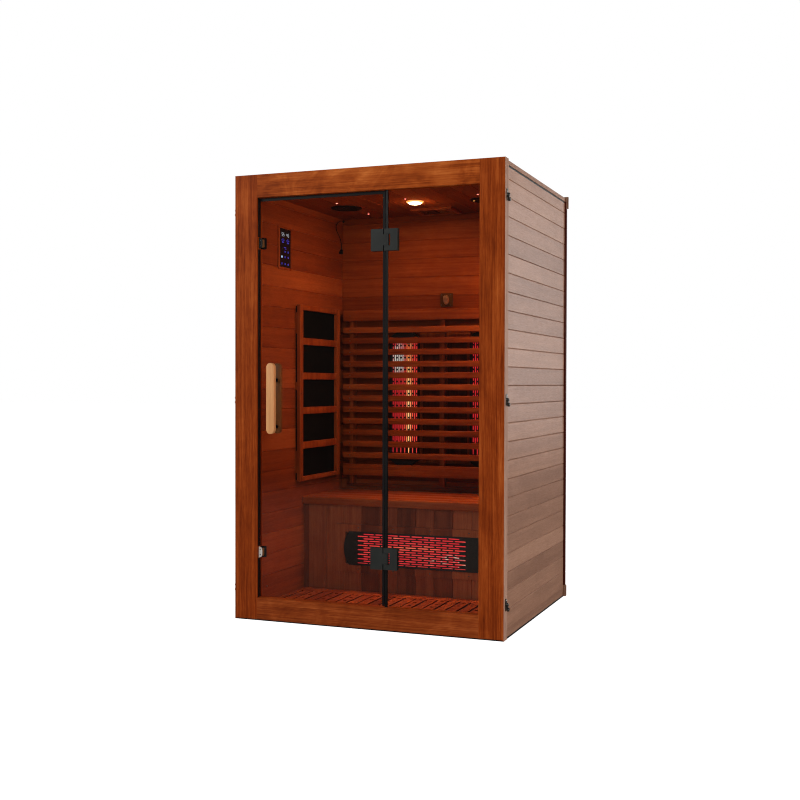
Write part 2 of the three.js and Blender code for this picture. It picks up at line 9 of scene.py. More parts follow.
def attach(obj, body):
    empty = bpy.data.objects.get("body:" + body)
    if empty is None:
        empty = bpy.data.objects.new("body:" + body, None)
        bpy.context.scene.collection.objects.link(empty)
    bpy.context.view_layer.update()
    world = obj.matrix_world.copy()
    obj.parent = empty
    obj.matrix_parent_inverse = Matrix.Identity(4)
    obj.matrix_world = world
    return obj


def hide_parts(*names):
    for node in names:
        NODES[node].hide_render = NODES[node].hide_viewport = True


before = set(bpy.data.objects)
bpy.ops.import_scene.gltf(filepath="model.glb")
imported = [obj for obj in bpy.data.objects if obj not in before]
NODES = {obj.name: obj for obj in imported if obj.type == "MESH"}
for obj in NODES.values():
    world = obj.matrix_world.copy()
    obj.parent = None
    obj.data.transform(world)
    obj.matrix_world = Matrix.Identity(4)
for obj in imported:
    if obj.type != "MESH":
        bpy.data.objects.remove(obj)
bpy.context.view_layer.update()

MM = 0.001
scene = bpy.context.scene

# ------------------------------------------------------------------- camera
YAW, PITCH, ROLL = (math.radians(a) for a in (21.3043, -0.8523, 0.1321))
cam_data = bpy.data.cameras.new("camera")
cam_data.sensor_fit = "HORIZONTAL"
cam_data.sensor_width = 36.0
cam_data.lens = 1135.77 / 800 * 36.0
cam_data.clip_start, cam_data.clip_end = 0.05, 200
camera = bpy.data.objects.new("camera", cam_data)
scene.collection.objects.link(camera)
fwd = Vector((-math.sin(YAW) * math.cos(PITCH), math.cos(YAW) * math.cos(PITCH), math.sin(PITCH)))
right = Vector((math.cos(YAW), math.sin(YAW), 0))
up = right.cross(fwd)
r2 = right * math.cos(ROLL) + up * math.sin(ROLL)
u2 = up * math.cos(ROLL) - right * math.sin(ROLL)
camera.matrix_world = Matrix((
    (r2.x, u2.x, -fwd.x, 1.8333),
    (r2.y, u2.y, -fwd.y, -4.8105),
    (r2.z, u2.z, -fwd.z, 1.0148),
    (0, 0, 0, 1),
))
scene.camera = camera


# ------------------------------------------------------------ material nodes
class Net:
    """A material's node tree with short names for the nodes used below."""

    def __init__(self, name):
        self.mat = bpy.data.materials.new(name)
        self.mat.use_nodes = True
        self.t = self.mat.node_tree
        self.t.nodes.clear()
        self.out = self.t.nodes.new("ShaderNodeOutputMaterial")

    def node(self, kind, **values):
        n = self.t.nodes.new(kind)
        for k, v in values.items():
            setattr(n, k, v)
        return n

    def link(self, a, b):
        self.t.links.new(a, b)

    def put(self, socket, value):
        if isinstance(value, bpy.types.NodeSocket):
            self.link(value, socket)
        else:
            socket.default_value = value

    def coord(self):
        return self.node("ShaderNodeTexCoord").outputs["Object"]

    def sep(self, v):
        n = self.node("ShaderNodeSeparateXYZ")
        self.put(n.inputs[0], v)
        return n.outputs

    def comb(self, x, y, z):
        n = self.node("ShaderNodeCombineXYZ")
        for i, v in enumerate((x, y, z)):
            self.put(n.inputs[i], v)
        return n.outputs[0]

    def math(self, op, a, b=0.0, clamp=False):
        n = self.node("ShaderNodeMath", operation=op, use_clamp=clamp)
        self.put(n.inputs[0], a)
        self.put(n.inputs[1], b)
        return n.outputs[0]

    def vec(self, op, a, b):
        n = self.node("ShaderNodeVectorMath", operation=op)
        self.put(n.inputs[0], a)
        self.put(n.inputs[1], b)
        return n.outputs[0]

    def scale(self, a, f):
        n = self.node("ShaderNodeVectorMath", operation="SCALE")
        self.put(n.inputs[0], a)
        n.inputs["Scale"].default_value = f
        return n.outputs[0]

    def noise(self, v, scale=1.0, detail=2.0, rough=0.5, dist=0.0):
        n = self.node("ShaderNodeTexNoise")
        self.put(n.inputs["Vector"], v)
        n.inputs["Scale"].default_value = scale
        n.inputs["Detail"].default_value = detail
        n.inputs["Roughness"].default_value = rough
        n.inputs["Distortion"].default_value = dist
        return n.outputs["Fac"] if "Fac" in n.outputs else n.outputs[0]

    def white(self, w):
        n = self.node("ShaderNodeTexWhiteNoise", noise_dimensions="1D")
        self.put(n.inputs["W"], w)
        return n.outputs["Value"], n.outputs["Color"]

    def ramp(self, f, stops, ease="LINEAR"):
        n = self.node("ShaderNodeValToRGB")
        n.color_ramp.interpolation = ease
        e = n.color_ramp.elements
        while len(e) < len(stops):
            e.new(0.5)
        for x, (p, c) in zip(e, stops):
            x.position = p
            x.color = (*c, 1) if len(c) == 3 else c
        self.put(n.inputs[0], f)
        return n.outputs[0]

    def remap(self, f, a, b, c, d):
        n = self.node("ShaderNodeMapRange")
        self.put(n.inputs[0], f)
        for i, v in enumerate((a, b, c, d)):
            n.inputs[i + 1].default_value = v
        return n.outputs[0]

    def mix(self, f, a, b):
        n = self.node("ShaderNodeMix", data_type="RGBA")
        self.put(n.inputs[0], f)
        self.put(n.inputs[6], a if isinstance(a, bpy.types.NodeSocket) else (*a, 1))
        self.put(n.inputs[7], b if isinstance(b, bpy.types.NodeSocket) else (*b, 1))
        return n.outputs[2]

    def bump(self, height, strength, distance):
        n = self.node("ShaderNodeBump")
        n.inputs["Strength"].default_value = strength
        n.inputs["Distance"].default_value = distance
        self.put(n.inputs["Height"], height)
        return n.outputs[0]

    def principled(self, **sockets):
        n = self.node("ShaderNodeBsdfPrincipled")
        for k, v in sockets.items():
            self.put(n.inputs[k.replace("_", " ")], v)
        self.link(n.outputs[0], self.out.inputs[0])
        return n


def grade(stops, k=1.0, grey=0.0):
    """Colour stops made darker or lighter, and greyer."""
    made = []
    for p, c in stops:
        m = sum(c) / 3
        made.append((p, tuple((x + (m - x) * grey) * k for x in c)))
    return made


def tint(stops, k):
    """Colour stops with each channel scaled."""
    return [(p, tuple(c * f for c, f in zip(col, k))) for p, col in stops]


# reddish-brown stained timber, from dark figure to pale figure
FRAME_TONES = [(0.0, (0.10, 0.014, 0.002)), (0.3, (0.19, 0.033, 0.0055)), (0.52, (0.285, 0.055, 0.0095)), (0.75, (0.385, 0.09, 0.019)), (1.0, (0.50, 0.14, 0.036))]
INNER_TONES = [(0.0, (0.11, 0.016, 0.003)), (0.35, (0.20, 0.033, 0.006)), (0.6, (0.28, 0.052, 0.010)), (1.0, (0.40, 0.092, 0.021))]
OUTER_TONES = [(0.0, (0.185, 0.085, 0.050)), (0.35, (0.25, 0.123, 0.075)), (0.65, (0.32, 0.164, 0.102)), (1.0, (0.405, 0.222, 0.145))]
PALE_TONES = [(0.0, (0.40, 0.165, 0.060)), (0.4, (0.53, 0.245, 0.098)), (0.7, (0.61, 0.30, 0.125)), (1.0, (0.70, 0.375, 0.17))]


def wood(name, tones, grain, board=None, seed=0.0, amp=(1.5, 0.5, 0.35, 0.28), rough=(0.36, 0.56), bump=0.22, split=None, spec=0.16):
    """Planed timber. grain is the axis that the fibres follow; board is (axis, pitch,
    first joint) where the piece is made of boards, each with a tone and figure of its
    own. amp weighs bands, mottle, fibres and the boards' tones. split is (axis, limit,
    tones, board) for the other face of a two-skinned panel; on some pieces it gives the faces past the limit painted
    shade, and on the stiles painted glare."""
    n = Net(name)
    co = n.coord()
    axes = n.sep(co)

    def index(b):
        return n.math("FLOOR", n.math("DIVIDE", n.math("SUBTRACT", axes[b[0]], b[2] * MM), b[1] * MM))

    side = None
    if split:
        side = n.math("GREATER_THAN", n.math("ABSOLUTE", axes[split[0]]), split[1] * MM)
    if board and split:
        a, b = index(board), n.math("ADD", index(split[3]), 71.0)
        idx = n.math("ADD", n.math("MULTIPLY", a, n.math("SUBTRACT", 1.0, side)), n.math("MULTIPLY", b, side))
    elif board:
        idx = index(board)
    else:
        idx = None
    if idx is not None:
        value, colour = n.white(n.math("ADD", n.math("MULTIPLY", idx, 1.371), seed + 0.37))
        v = n.vec("ADD", co, n.scale(colour, 7.0))
    else:
        value = None
        v = n.vec("ADD", co, (seed * 1.3, seed * 2.1, seed * 0.7))

    def stretched(along, across):
        s = [across] * 3
        s[grain] = along
        return n.vec("MULTIPLY", v, tuple(s))

    bands = n.noise(stretched(1.4, 30.0), 1.0, 4.0, 0.55, 0.9)
    streak = n.noise(stretched(3.2, 150.0), 1.0, 4.0, 0.62, 0.4)
    mottle = n.noise(stretched(6.0, 8.0), 1.0, 3.0, 0.6, 1.4)
    fibre = n.noise(stretched(26.0, 620.0), 1.0, 3.0, 0.6)
    tone = n.math("ADD", n.math("MULTIPLY", n.math("SUBTRACT", bands, 0.5), amp[0]), 0.5)
    tone = n.math("ADD", tone, n.math("MULTIPLY", n.math("SUBTRACT", mottle, 0.5), amp[1]))
    tone = n.math("ADD", tone, n.math("MULTIPLY", n.math("SUBTRACT", fibre, 0.5), amp[2]))
    tone = n.math("ADD", tone, n.math("MULTIPLY", n.math("SUBTRACT", streak, 0.5), amp[2] * 1.9))
    if value is not None:
        tone = n.math("ADD", tone, n.math("MULTIPLY", n.math("SUBTRACT", value, 0.5), amp[3]))
    colour = n.ramp(tone, tones)
    if split:
        colour = n.mix(side, colour, n.ramp(tone, split[2]))
    pores = n.remap(fibre, 0.30, 0.42, 0.80, 1.0)
    colour = n.mix(n.math("SUBTRACT", 1.0, pores), colour, tuple(c * 0.4 for c in tones[0][1]))
    height = n.math("ADD", n.math("MULTIPLY", bands, 0.5), fibre)
    n.principled(
        Base_Color=colour,
        Roughness=n.remap(fibre, 0.3, 0.7, rough[1], rough[0]),
        Specular_IOR_Level=spec,
        Normal=n.bump(height, bump, 0.0006),
    )
    return n.mat


def coated(name, base, rough, metal=0.0, grain=900.0, vary=0.25, bump=0.12, spec=0.5):
    """Paint, moulded plastic or brushed metal: a fine texture with slow tone changes."""
    n = Net(name)
    co = n.coord()
    fine = n.noise(co, grain, 2.0, 0.6)
    slow = n.noise(co, 9.0, 3.0, 0.55)
    f = n.math("ADD", n.math("MULTIPLY", fine, 0.5), n.math("MULTIPLY", slow, 0.5))
    lo, hi = (tuple(c * (1 - vary) for c in base), tuple(min(1, c * (1 + vary)) for c in base))
    n.principled(
        Base_Color=n.ramp(f, [(0.3, lo), (0.7, hi)]),
        Roughness=n.remap(f, 0.3, 0.7, max(0.02, rough - 0.08), min(1, rough + 0.08)),
        Metallic=metal,
        Specular_IOR_Level=spec,
        Normal=n.bump(fine, bump, 0.0002),
    )
    return n.mat


def glowing(name, build, strength, base=(0.02, 0.01, 0.01), rough=0.4):
    """A surface that gives light; build makes its colour from the net and coordinates."""
    n = Net(name)
    colour = build(n, n.coord())
    n.principled(Base_Color=(*base, 1), Roughness=rough, Emission_Color=colour, Emission_Strength=strength)
    return n.mat


M = {}
# the stiles' outer side faces take pale grey tones: painted glare on the same stained timber
M["stile"] = wood("stained_timber_upright", tint(FRAME_TONES, (0.82, 0.70, 0.52)), 2, seed=3.1, amp=(0.85, 0.45, 0.62, 0), rough=(0.34, 0.52), split=(0, 598.8, grade(OUTER_TONES, 1.25, 0.22)), spec=0.04)
M["rail"] = wood("stained_timber_rail", tint(FRAME_TONES, (0.97, 0.94, 0.76)), 0, seed=7.7, amp=(0.9, 1.25, 0.5, 0), rough=(0.34, 0.52), spec=0.04)
M["sill"] = wood("stained_timber_sill", tint(FRAME_TONES, (0.80, 0.78, 0.80)), 0, seed=8.6, amp=(0.8, 0.7, 0.55, 0), rough=(0.34, 0.52), spec=0.05)
M["side_wall"] = wood("side_wall_boards", INNER_TONES, 1, board=(2, 92, 1816), seed=1.0, amp=(0.75, 0.35, 0.28, 0.42),
                      split=(0, 572, OUTER_TONES, (2, 74.1, 117)), rough=(0.30, 0.46), spec=0.4)
# the back panel's outer faces are painted 0.7 as dark as the other outer boards: painted shade
M["back_wall"] = wood("back_wall_boards", INNER_TONES, 0, board=(2, 92, 1816), seed=5.0, amp=(0.75, 0.35, 0.28, 0.42),
                      split=(1, 490, grade(OUTER_TONES, 0.7), (2, 74.1, 117)), rough=(0.34, 0.5))
M["roof"] = wood("roof_boards", grade(INNER_TONES, 0.8), 1, board=(0, 92, -460), seed=9.0, amp=(0.75, 0.35, 0.28, 0.38),
                 split=(2, 1866, OUTER_TONES, (0, 150, -600)), rough=(0.34, 0.5))
# the base's top face inside the cabin is painted near-black: painted shade under the duckboard
M["floor_base"] = wood("base_panel", grade(OUTER_TONES, 0.92), 1, seed=11.0, amp=(0.75, 0.35, 0.28, 0), spec=0.3, split=(2, 23.2, grade(INNER_TONES, 0.10)))
M["inner_x"] = wood("inner_timber_across", INNER_TONES, 0, board=(2, 56.5, 640), seed=13.0, amp=(1.0, 0.4, 0.3, 0.35))
M["inner_z"] = wood("inner_timber_upright", INNER_TONES, 2, seed=17.0, amp=(1.0, 0.4, 0.3, 0))
M["inner_y"] = wood("inner_timber_deep", INNER_TONES, 1, board=(0, 51.25, -507), seed=19.0, amp=(0.9, 0.4, 0.3, 0.4))
# duckboard faces below the slat tops are painted near-black as painted shade between and under the slats; the tops are
# painted a little lighter
M["duck"] = wood("duckboard_slats", grade(INNER_TONES, 0.13), 1, board=(0, 51.25, -507), seed=19.0, amp=(0.9, 0.4, 0.3, 0.4), split=(2, 46.4, grade(INNER_TONES, 1.12), (0, 51.25, -507)))
M["bench_boards"] = wood("bench_front_boards", grade(INNER_TONES, 0.95, 0.1), 2, board=(0, 90, -432), seed=23.0, amp=(0.8, 0.35, 0.28, 0.75))
M["bench_seat"] = wood("bench_seat_boards", INNER_TONES, 0, board=(1, 104, 64), seed=29.0, amp=(0.9, 0.4, 0.28, 0.35), rough=(0.28, 0.42))
M["handle"] = wood("pale_hardwood", PALE_TONES, 2, seed=31.0, amp=(0.9, 0.25, 0.3, 0), rough=(0.4, 0.55))
# the inner handle bar is painted darker than the outer bar of the same wood: painted shade
M["handle_in_painted_shade"] = wood("shaded_hardwood", [(0.0, (0.085, 0.026, 0.006)), (0.5, (0.15, 0.052, 0.014)), (1.0, (0.24, 0.095, 0.03))], 2, seed=33.0, amp=(0.9, 0.25, 0.3, 0), rough=(0.4, 0.55))
# timber painted at 0.42 of the inner tones: painted shade
M["recess_painted_shade"] = wood("shaded_field_timber", grade(INNER_TONES, 0.42), 2, seed=41.0, amp=(1.0, 0.4, 0.3, 0))
# the vent slider is inner timber painted 0.35 as dark: painted shade under the vent frame's edge
M["vent_cover"] = wood("shaded_cover_timber", grade(INNER_TONES, 0.35), 0, seed=43.0, amp=(1.0, 0.4, 0.3, 0))
# near-black timber for the ends of the back panel: painted shade
M["back_edge_shade"] = wood("dark_painted_shade_edge", [(0.0, (0.028, 0.0035, 0.002)), (0.5, (0.05, 0.007, 0.004)), (1.0, (0.085, 0.014, 0.008))], 2, seed=47.0, spec=0.05)
M["hook_plate"] = wood("dark_plate_timber", [(0.0, (0.05, 0.022, 0.008)), (1.0, (0.12, 0.052, 0.017))], 2, seed=37.0)

M["black_metal"] = coated("black_powder_coat", (0.007, 0.007, 0.0072), 0.34, 0.0, 1400.0, 0.3, 0.15, 0.14)
M["hinge"] = coated("dark_grey_coat", (0.020, 0.0225, 0.0215), 0.5, 0.0, 1600.0, 0.25, 0.2, 0.2)
M["seal"] = coated("black_seal", (0.006, 0.006, 0.0065), 0.5, 0.0, 700.0, 0.3, 0.1, 0.15)
M["steel"] = coated("brushed_steel", (0.50, 0.49, 0.46), 0.3, 1.0, 1200.0, 0.2, 0.15)
M["dark_steel"] = coated("dark_steel", (0.13, 0.13, 0.122), 0.3, 1.0, 1200.0, 0.3, 0.15)
# pale finish of the lower strike plate: a painted highlight, as the upper plate of the same kind is dark grey
M["strike"] = coated("pale_plate_painted_highlight", (0.62, 0.63, 0.60), 0.35, 0.0, 900.0, 0.12, 0.1)
M["black_plastic"] = coated("black_moulding", (0.006, 0.006, 0.0065), 0.5, 0.0, 1100.0, 0.3, 0.2, 0.15)
M["copper"] = coated("bronze_knob", (0.55, 0.27, 0.15), 0.3, 0.35, 900.0, 0.2, 0.1)
# the orange of the catch faces is a painted highlight of the warm cabin light
M["catch"] = coated("catch_plate_painted_highlight", (0.62, 0.25, 0.09), 0.34, 0.55, 900.0, 0.2, 0.1)
# dark grey for the strips in the roof's shadow gap: painted shade
M["gap_painted_shade"] = coated("grey_painted_shade_strip", (0.045, 0.05, 0.05), 0.6, 0.0, 900.0, 0.2, 0.1, 0.3)
M["cord"] = coated("black_lead", (0.008, 0.008, 0.008), 0.45, 0.0, 1500.0, 0.3, 0.1)
M["box"] = coated("grey_sheet_metal", (0.12, 0.125, 0.13), 0.45, 0.2, 800.0, 0.15, 0.1)
M["heater"] = coated("heater_black", (0.010, 0.0105, 0.0105), 0.5, 0.0, 1500.0, 0.3, 0.2)
M["ceramic"] = coated("rod_holder", (0.45, 0.40, 0.34), 0.6, 0.0, 700.0, 0.15, 0.1)


def screen_material():
    n = Net("touch_panel_glass")
    co = n.coord()
    smear = n.noise(co, 34.0, 3.0, 0.6)
    n.principled(
        Base_Color=n.ramp(smear, [(0.3, (0.004, 0.004, 0.006)), (0.7, (0.008, 0.009, 0.014))]),
        Roughness=n.remap(smear, 0.3, 0.7, 0.07, 0.16),
        Specular_IOR_Level=0.35,
    )
    return n.mat


def carbon_material():
    """Black sheet under a fine woven cover."""
    n = Net("carbon_cloth")
    co = n.coord()
    x, y, z = n.sep(co)
    a = n.math("SINE", n.math("MULTIPLY", n.math("ADD", y, x), 2 * math.pi / 0.0032))
    b = n.math("SINE", n.math("MULTIPLY", z, 2 * math.pi / 0.0032))
    weave = n.math("MULTIPLY", n.math("ADD", n.math("MULTIPLY", a, b), 1.0), 0.5)
    slow = n.noise(co, 6.0, 3.0, 0.55)
    f = n.math("ADD", n.math("MULTIPLY", weave, 0.4), n.math("MULTIPLY", slow, 0.6))
    n.principled(
        Base_Color=n.ramp(f, [(0.2, (0.002, 0.002, 0.002)), (0.8, (0.006, 0.0055, 0.0055))]),
        Roughness=n.remap(weave, 0.0, 1.0, 0.72, 0.9),
        Specular_IOR_Level=0.06,
        Normal=n.bump(weave, 0.25, 0.0004),
    )
    return n.mat


def glass_material():
    """Clear pane with a faint grey tone: see-through, with a mirror-like surface."""
    n = Net("clear_pane")
    co = n.coord()
    haze = n.noise(co, 2.2, 3.0, 0.5)
    clear = n.node("ShaderNodeBsdfTransparent")
    n.put(clear.inputs[0], n.ramp(haze, [(0.3, (0.88, 0.885, 0.875)), (0.7, (0.93, 0.935, 0.925))]))
    shine = n.node("ShaderNodeBsdfGlossy")
    shine.inputs["Color"].default_value = (0.9, 0.92, 0.92, 1)
    shine.inputs["Roughness"].default_value = 0.0
    edge = n.node("ShaderNodeLayerWeight")
    edge.inputs["Blend"].default_value = 0.5
    mirror = n.math("ADD", n.math("MULTIPLY", n.math("POWER", edge.outputs["Facing"], 5.0), 0.9), 0.032)
    mix = n.node("ShaderNodeMixShader")
    n.link(mirror, mix.inputs[0])
    n.link(clear.outputs[0], mix.inputs[1])
    n.link(shine.outputs[0], mix.inputs[2])
    n.link(mix.outputs[0], n.out.inputs[0])
    return n.mat


M["screen"] = screen_material()
M["carbon"] = carbon_material()
M["glass"] = glass_material()
M["lamp"] = glowing("lamp_glow", lambda n, co: n.ramp(n.noise(co, 60.0), [(0.3, (1.0, 0.74, 0.40)), (0.7, (1.0, 0.84, 0.55))]), 14.0, (0.9, 0.8, 0.6))
# the trim ring round the lamp glows with painted lamp light
M["lamp_trim"] = glowing("lamp_trim_painted_light", lambda n, co: n.ramp(n.noise(co, 80.0), [(0.3, (1.0, 0.34, 0.07)), (0.7, (1.0, 0.46, 0.12))]), 1.5, (0.7, 0.5, 0.3))
M["star"] = glowing("star_light", lambda n, co: n.ramp(n.noise(co, 400.0), [(0.3, (1.0, 0.10, 0.07)), (0.7, (1.0, 0.30, 0.22))]), 5.0, (0.5, 0.05, 0.04))
M["amber"] = glowing("amber_light", lambda n, co: n.ramp(n.noise(co, 400.0), [(0.3, (1.0, 0.33, 0.06)), (0.7, (1.0, 0.50, 0.14))]), 2.5, (0.5, 0.2, 0.05))
M["digits"] = glowing("white_digits", lambda n, co: n.ramp(n.noise(co, 300.0), [(0.3, (0.75, 0.78, 0.9)), (0.7, (0.9, 0.92, 1.0))]), 0.62)
M["icons"] = glowing("blue_signs", lambda n, co: n.ramp(n.noise(co, 300.0), [(0.3, (0.03, 0.03, 0.55)), (0.7, (0.07, 0.08, 0.85))]), 0.75)
M["icon_lit"] = glowing("lit_sign", lambda n, co: n.ramp(n.noise(co, 300.0), [(0.3, (0.35, 0.62, 1.0)), (0.7, (0.55, 0.8, 1.0))]), 1.2)


def rod_colour(axis, mid):
    def build(n, co):
        s = n.sep(co)[axis]
        wob = n.math("MULTIPLY", n.math("SUBTRACT", n.noise(co, 14.0), 0.5), 0.35)
        f = n.math("ADD", n.math("ABSOLUTE", n.math("DIVIDE", n.math("SUBTRACT", s, mid[0] * MM), mid[1] * MM)), wob)
        return n.ramp(f, [(0.0, (1.0, 0.62, 0.25)), (0.6, (1.0, 0.50, 0.15)), (0.85, (1.0, 0.20, 0.05)), (1.0, (0.6, 0.03, 0.01))])
    return build


def rod_red(axis, mid):
    def build(n, co):
        s = n.sep(co)[axis]
        wob = n.math("MULTIPLY", n.math("SUBTRACT", n.noise(co, 30.0, 3.0), 0.5), 0.9)
        f = n.math("ADD", n.math("ABSOLUTE", n.math("DIVIDE", n.math("SUBTRACT", s, mid[0] * MM), mid[1] * MM)), wob)
        return n.ramp(f, [(0.0, (1.0, 0.16, 0.09)), (0.4, (0.95, 0.06, 0.05)), (1.0, (0.7, 0.02, 0.03))])
    return build


def painted_reflector_glow(across, line, half, along, lamp_reflection_spot, hot):
    """Painted reflected glow of the rod on the reflector: brightest along the rod, dim at the edges, with pale patches
    of painted reflection of the ceiling lamp.
    """
    def build(n, co):
        s = n.sep(co)
        d = n.math("DIVIDE", n.math("ABSOLUTE", n.math("SUBTRACT", s[across], line * MM)), half * MM)
        wob = n.math("MULTIPLY", n.math("SUBTRACT", n.noise(co, 46.0, 3.0, 0.6), 0.5), 0.55)
        base = n.ramp(n.math("ADD", d, wob), [(0.0, hot), (0.13, (1.0, 0.16, 0.06)), (0.24, (0.95, 0.045, 0.035)), (0.6, (0.80, 0.022, 0.030)), (1.0, (0.52, 0.012, 0.018))])
        if not lamp_reflection_spot:
            return base
        # painted reflection of the ceiling lamp: a pale patch about the given point
        a = n.math("DIVIDE", n.math("SUBTRACT", s[across], lamp_reflection_spot[0] * MM), lamp_reflection_spot[2] * MM)
        b = n.math("DIVIDE", n.math("SUBTRACT", s[along], lamp_reflection_spot[1] * MM), lamp_reflection_spot[3] * MM)
        r = n.math("SQRT", n.math("ADD", n.math("MULTIPLY", a, a), n.math("MULTIPLY", b, b)))
        r = n.math("ADD", r, n.math("MULTIPLY", wob, lamp_reflection_spot[4]))
        return n.mix(n.remap(r, 0.6, 1.0, 1.0, 0.0), base, (0.80, 0.74, 0.68))
    return build


# ------------------------------------------------------------------ mesh code
def filled(outline, holes):
    """Triangles that fill an outline around its holes, and the edges of that fill."""
    bm = bmesh.new()
    for loop in [outline, *holes]:
        vs = [bm.verts.new((a, b, 0)) for a, b in loop]
        for i, v in enumerate(vs):
            bm.edges.new((v, vs[(i + 1) % len(vs)]))
    bmesh.ops.triangle_fill(bm, use_beauty=True, use_dissolve=False, edges=bm.edges[:])
    bm.verts.index_update()
    pts = [(v.co.x, v.co.y) for v in bm.verts]
    tris = [[v.index for v in f.verts] for f in bm.faces]
    rim = [(e.verts[0].index, e.verts[1].index) for e in bm.edges if len(e.link_faces) == 1]
    bm.free()
    return pts, tris, rim


PLACE = {"x": lambda a, b, h: (h, a, b), "y": lambda a, b, h: (a, h, b), "z": lambda a, b, h: (a, b, h)}


class Shape:
    """One piece's mesh, built up in millimetres."""

    def __init__(self):
        self.bm = bmesh.new()

    def merge(self, bm):
        me = bpy.data.meshes.new("_part")
        bm.to_mesh(me)
        bm.free()
        self.bm.from_mesh(me)
        bpy.data.meshes.remove(me)
        return self

    def box(self, x0, x1, y0, y1, z0, z1, r=1.2, seg=2):
        bm = bmesh.new()
        bmesh.ops.create_cube(bm, size=1.0)
        for v in bm.verts:
            v.co = ((x0 + x1) / 2 + v.co.x * (x1 - x0), (y0 + y1) / 2 + v.co.y * (y1 - y0), (z0 + z1) / 2 + v.co.z * (z1 - z0))
        if r:
            bmesh.ops.bevel(bm, geom=bm.edges[:], offset=r, segments=seg, profile=0.5, affect="EDGES", clamp_overlap=True)
        return self.merge(bm)

    def prism(self, pts, axis, a0, a1, holes=(), r=0.0, seg=2):
        """An outline in the plane across the axis, run from a0 to a1."""
        place = PLACE[axis]
        bm = bmesh.new()
        if holes:
            flat, tris, rim = filled(pts, holes)
            lo = [bm.verts.new(place(a, b, a0)) for a, b in flat]
            hi = [bm.verts.new(place(a, b, a1)) for a, b in flat]
            for t in tris:
                bm.faces.new([hi[i] for i in t])
                bm.faces.new([lo[i] for i in reversed(t)])
            for i, j in rim:
                bm.faces.new([lo[i], lo[j], hi[j], hi[i]])
        else:
            lo = [bm.verts.new(place(a, b, a0)) for a, b in pts]
            hi = [bm.verts.new(place(a, b, a1)) for a, b in pts]
            n = len(pts)
            bm.faces.new(lo)
            bm.faces.new(hi)
            for i in range(n):
                bm.faces.new([lo[i], lo[(i + 1) % n], hi[(i + 1) % n], hi[i]])
            if r:
                caps = [e for e in bm.edges if (e.verts[0] in set(lo)) == (e.verts[1] in set(lo))]
                bmesh.ops.bevel(bm, geom=caps, offset=r, segments=seg, profile=0.5, affect="EDGES", clamp_overlap=True)
        bmesh.ops.recalc_face_normals(bm, faces=bm.faces[:])
        return self.merge(bm)

    def lathe(self, profile, axis, centre, n=32):
        """A turned form: profile is (radius, height) from one end on the axis to the other."""
        place = {"x": lambda a, b, h: (h, centre[0] + a, centre[1] + b), "y": lambda a, b, h: (centre[0] + a, h, centre[1] + b),
                 "z": lambda a, b, h: (centre[0] + a, centre[1] + b, h)}[axis]
        bm = bmesh.new()
        rings = []
        for r, h in profile:
            if r <= 1e-6:
                rings.append([bm.verts.new(place(0, 0, h))])
            else:
                rings.append([bm.verts.new(place(r * math.cos(2 * math.pi * i / n), r * math.sin(2 * math.pi * i / n), h)) for i in range(n)])
        for a, b in zip(rings, rings[1:]):
            for i in range(n):
                j = (i + 1) % n
                if len(a) == 1 and len(b) == 1:
                    continue
                if len(a) == 1:
                    bm.faces.new([a[0], b[i], b[j]])
                elif len(b) == 1:
                    bm.faces.new([a[i], a[j], b[0]])
                else:
                    bm.faces.new([a[i], a[j], b[j], b[i]])
        bmesh.ops.recalc_face_normals(bm, faces=bm.faces[:])
        return self.merge(bm)

    def screw(self, axis, centre, h, r=3.6, out=1.0):
        """A pan head screw with a round socket; h is the seat and out its side."""
        k = out
        self.lathe([(0, h), (r, h), (r, h + k * 0.8), (r * 0.8, h + k * 1.9), (r * 0.5, h + k * 2.1), (r * 0.42, h + k * 0.9), (0, h + k * 0.7)], axis, centre, 18)
        return self

    def done(self, name, material, body="cabin", nodes=(), slot=None, smooth=42.0):
        bm = self.bm
        bmesh.ops.recalc_face_normals(bm, faces=bm.faces[:])
        limit = math.radians(smooth)
        for e in bm.edges:
            if len(e.link_faces) == 2:
                e.smooth = e.calc_face_angle(0) < limit
            else:
                e.smooth = False
        for f in bm.faces:
            f.smooth = True
        bmesh.ops.scale(bm, vec=(MM, MM, MM), verts=bm.verts[:])
        me = bpy.data.meshes.new(name)
        bm.to_mesh(me)
        bm.free()
        me.materials.append(M[material])
        ob = bpy.data.objects.new(name, me)
        scene.collection.objects.link(ob)
        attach(ob, body)
        if nodes:
            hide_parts(*nodes)
        return ob


def circle(cx, cy, r, n=24, phase=0.5):
    return [(cx + r * math.cos(2 * math.pi * (i + phase) / n), cy + r * math.sin(2 * math.pi * (i + phase) / n)) for i in range(n)]


def rounded(x0, x1, y0, y1, r, n=5):
    pts = []
    for cx, cy, q in ((x1 - r, y1 - r, 0), (x0 + r, y1 - r, 1), (x0 + r, y0 + r, 2), (x1 - r, y0 + r, 3)):
        for i in range(n + 1):
            a = (q + i / n) * math.pi / 2
            pts.append((cx + r * math.cos(a), cy + r * math.sin(a)))
    return pts


def oval(cx, cy, rx, ry, n=14):
    return [(cx + rx * math.cos(2 * math.pi * i / n), cy + ry * math.sin(2 * math.pi * i / n)) for i in range(n)]


def dress(node, material, bevel=0.0, seg=2, angle=40.0):
    """Finish of a construction part that shows as it is, with softened edges."""
    ob = NODES[node]
    if not ob.data.materials:
        ob.data.materials.append(M[material])
    for s in ob.material_slots:
        s.material = M[material]
    if bevel:
        b = ob.modifiers.new("soft_edges", "BEVEL")
        b.width, b.segments, b.limit_method, b.angle_limit = bevel * MM, seg, "ANGLE", math.radians(angle)
        b.use_clamp_overlap = True
    return ob


# ---------------------------------------------------------------- sensor lead
LEAD = [(-541, 480.5, 1836), (-541, 468, 1836), (-541, 445, 1833), (-541, 420, 1825), (-541, 400, 1813),
        (-541, 391, 1798), (-541, 396, 1781), (-541, 412, 1767), (-541, 432, 1752), (-541, 448, 1733),
        (-541, 456, 1712), (-541, 457, 1700), (-541, 457, 1692.3)]


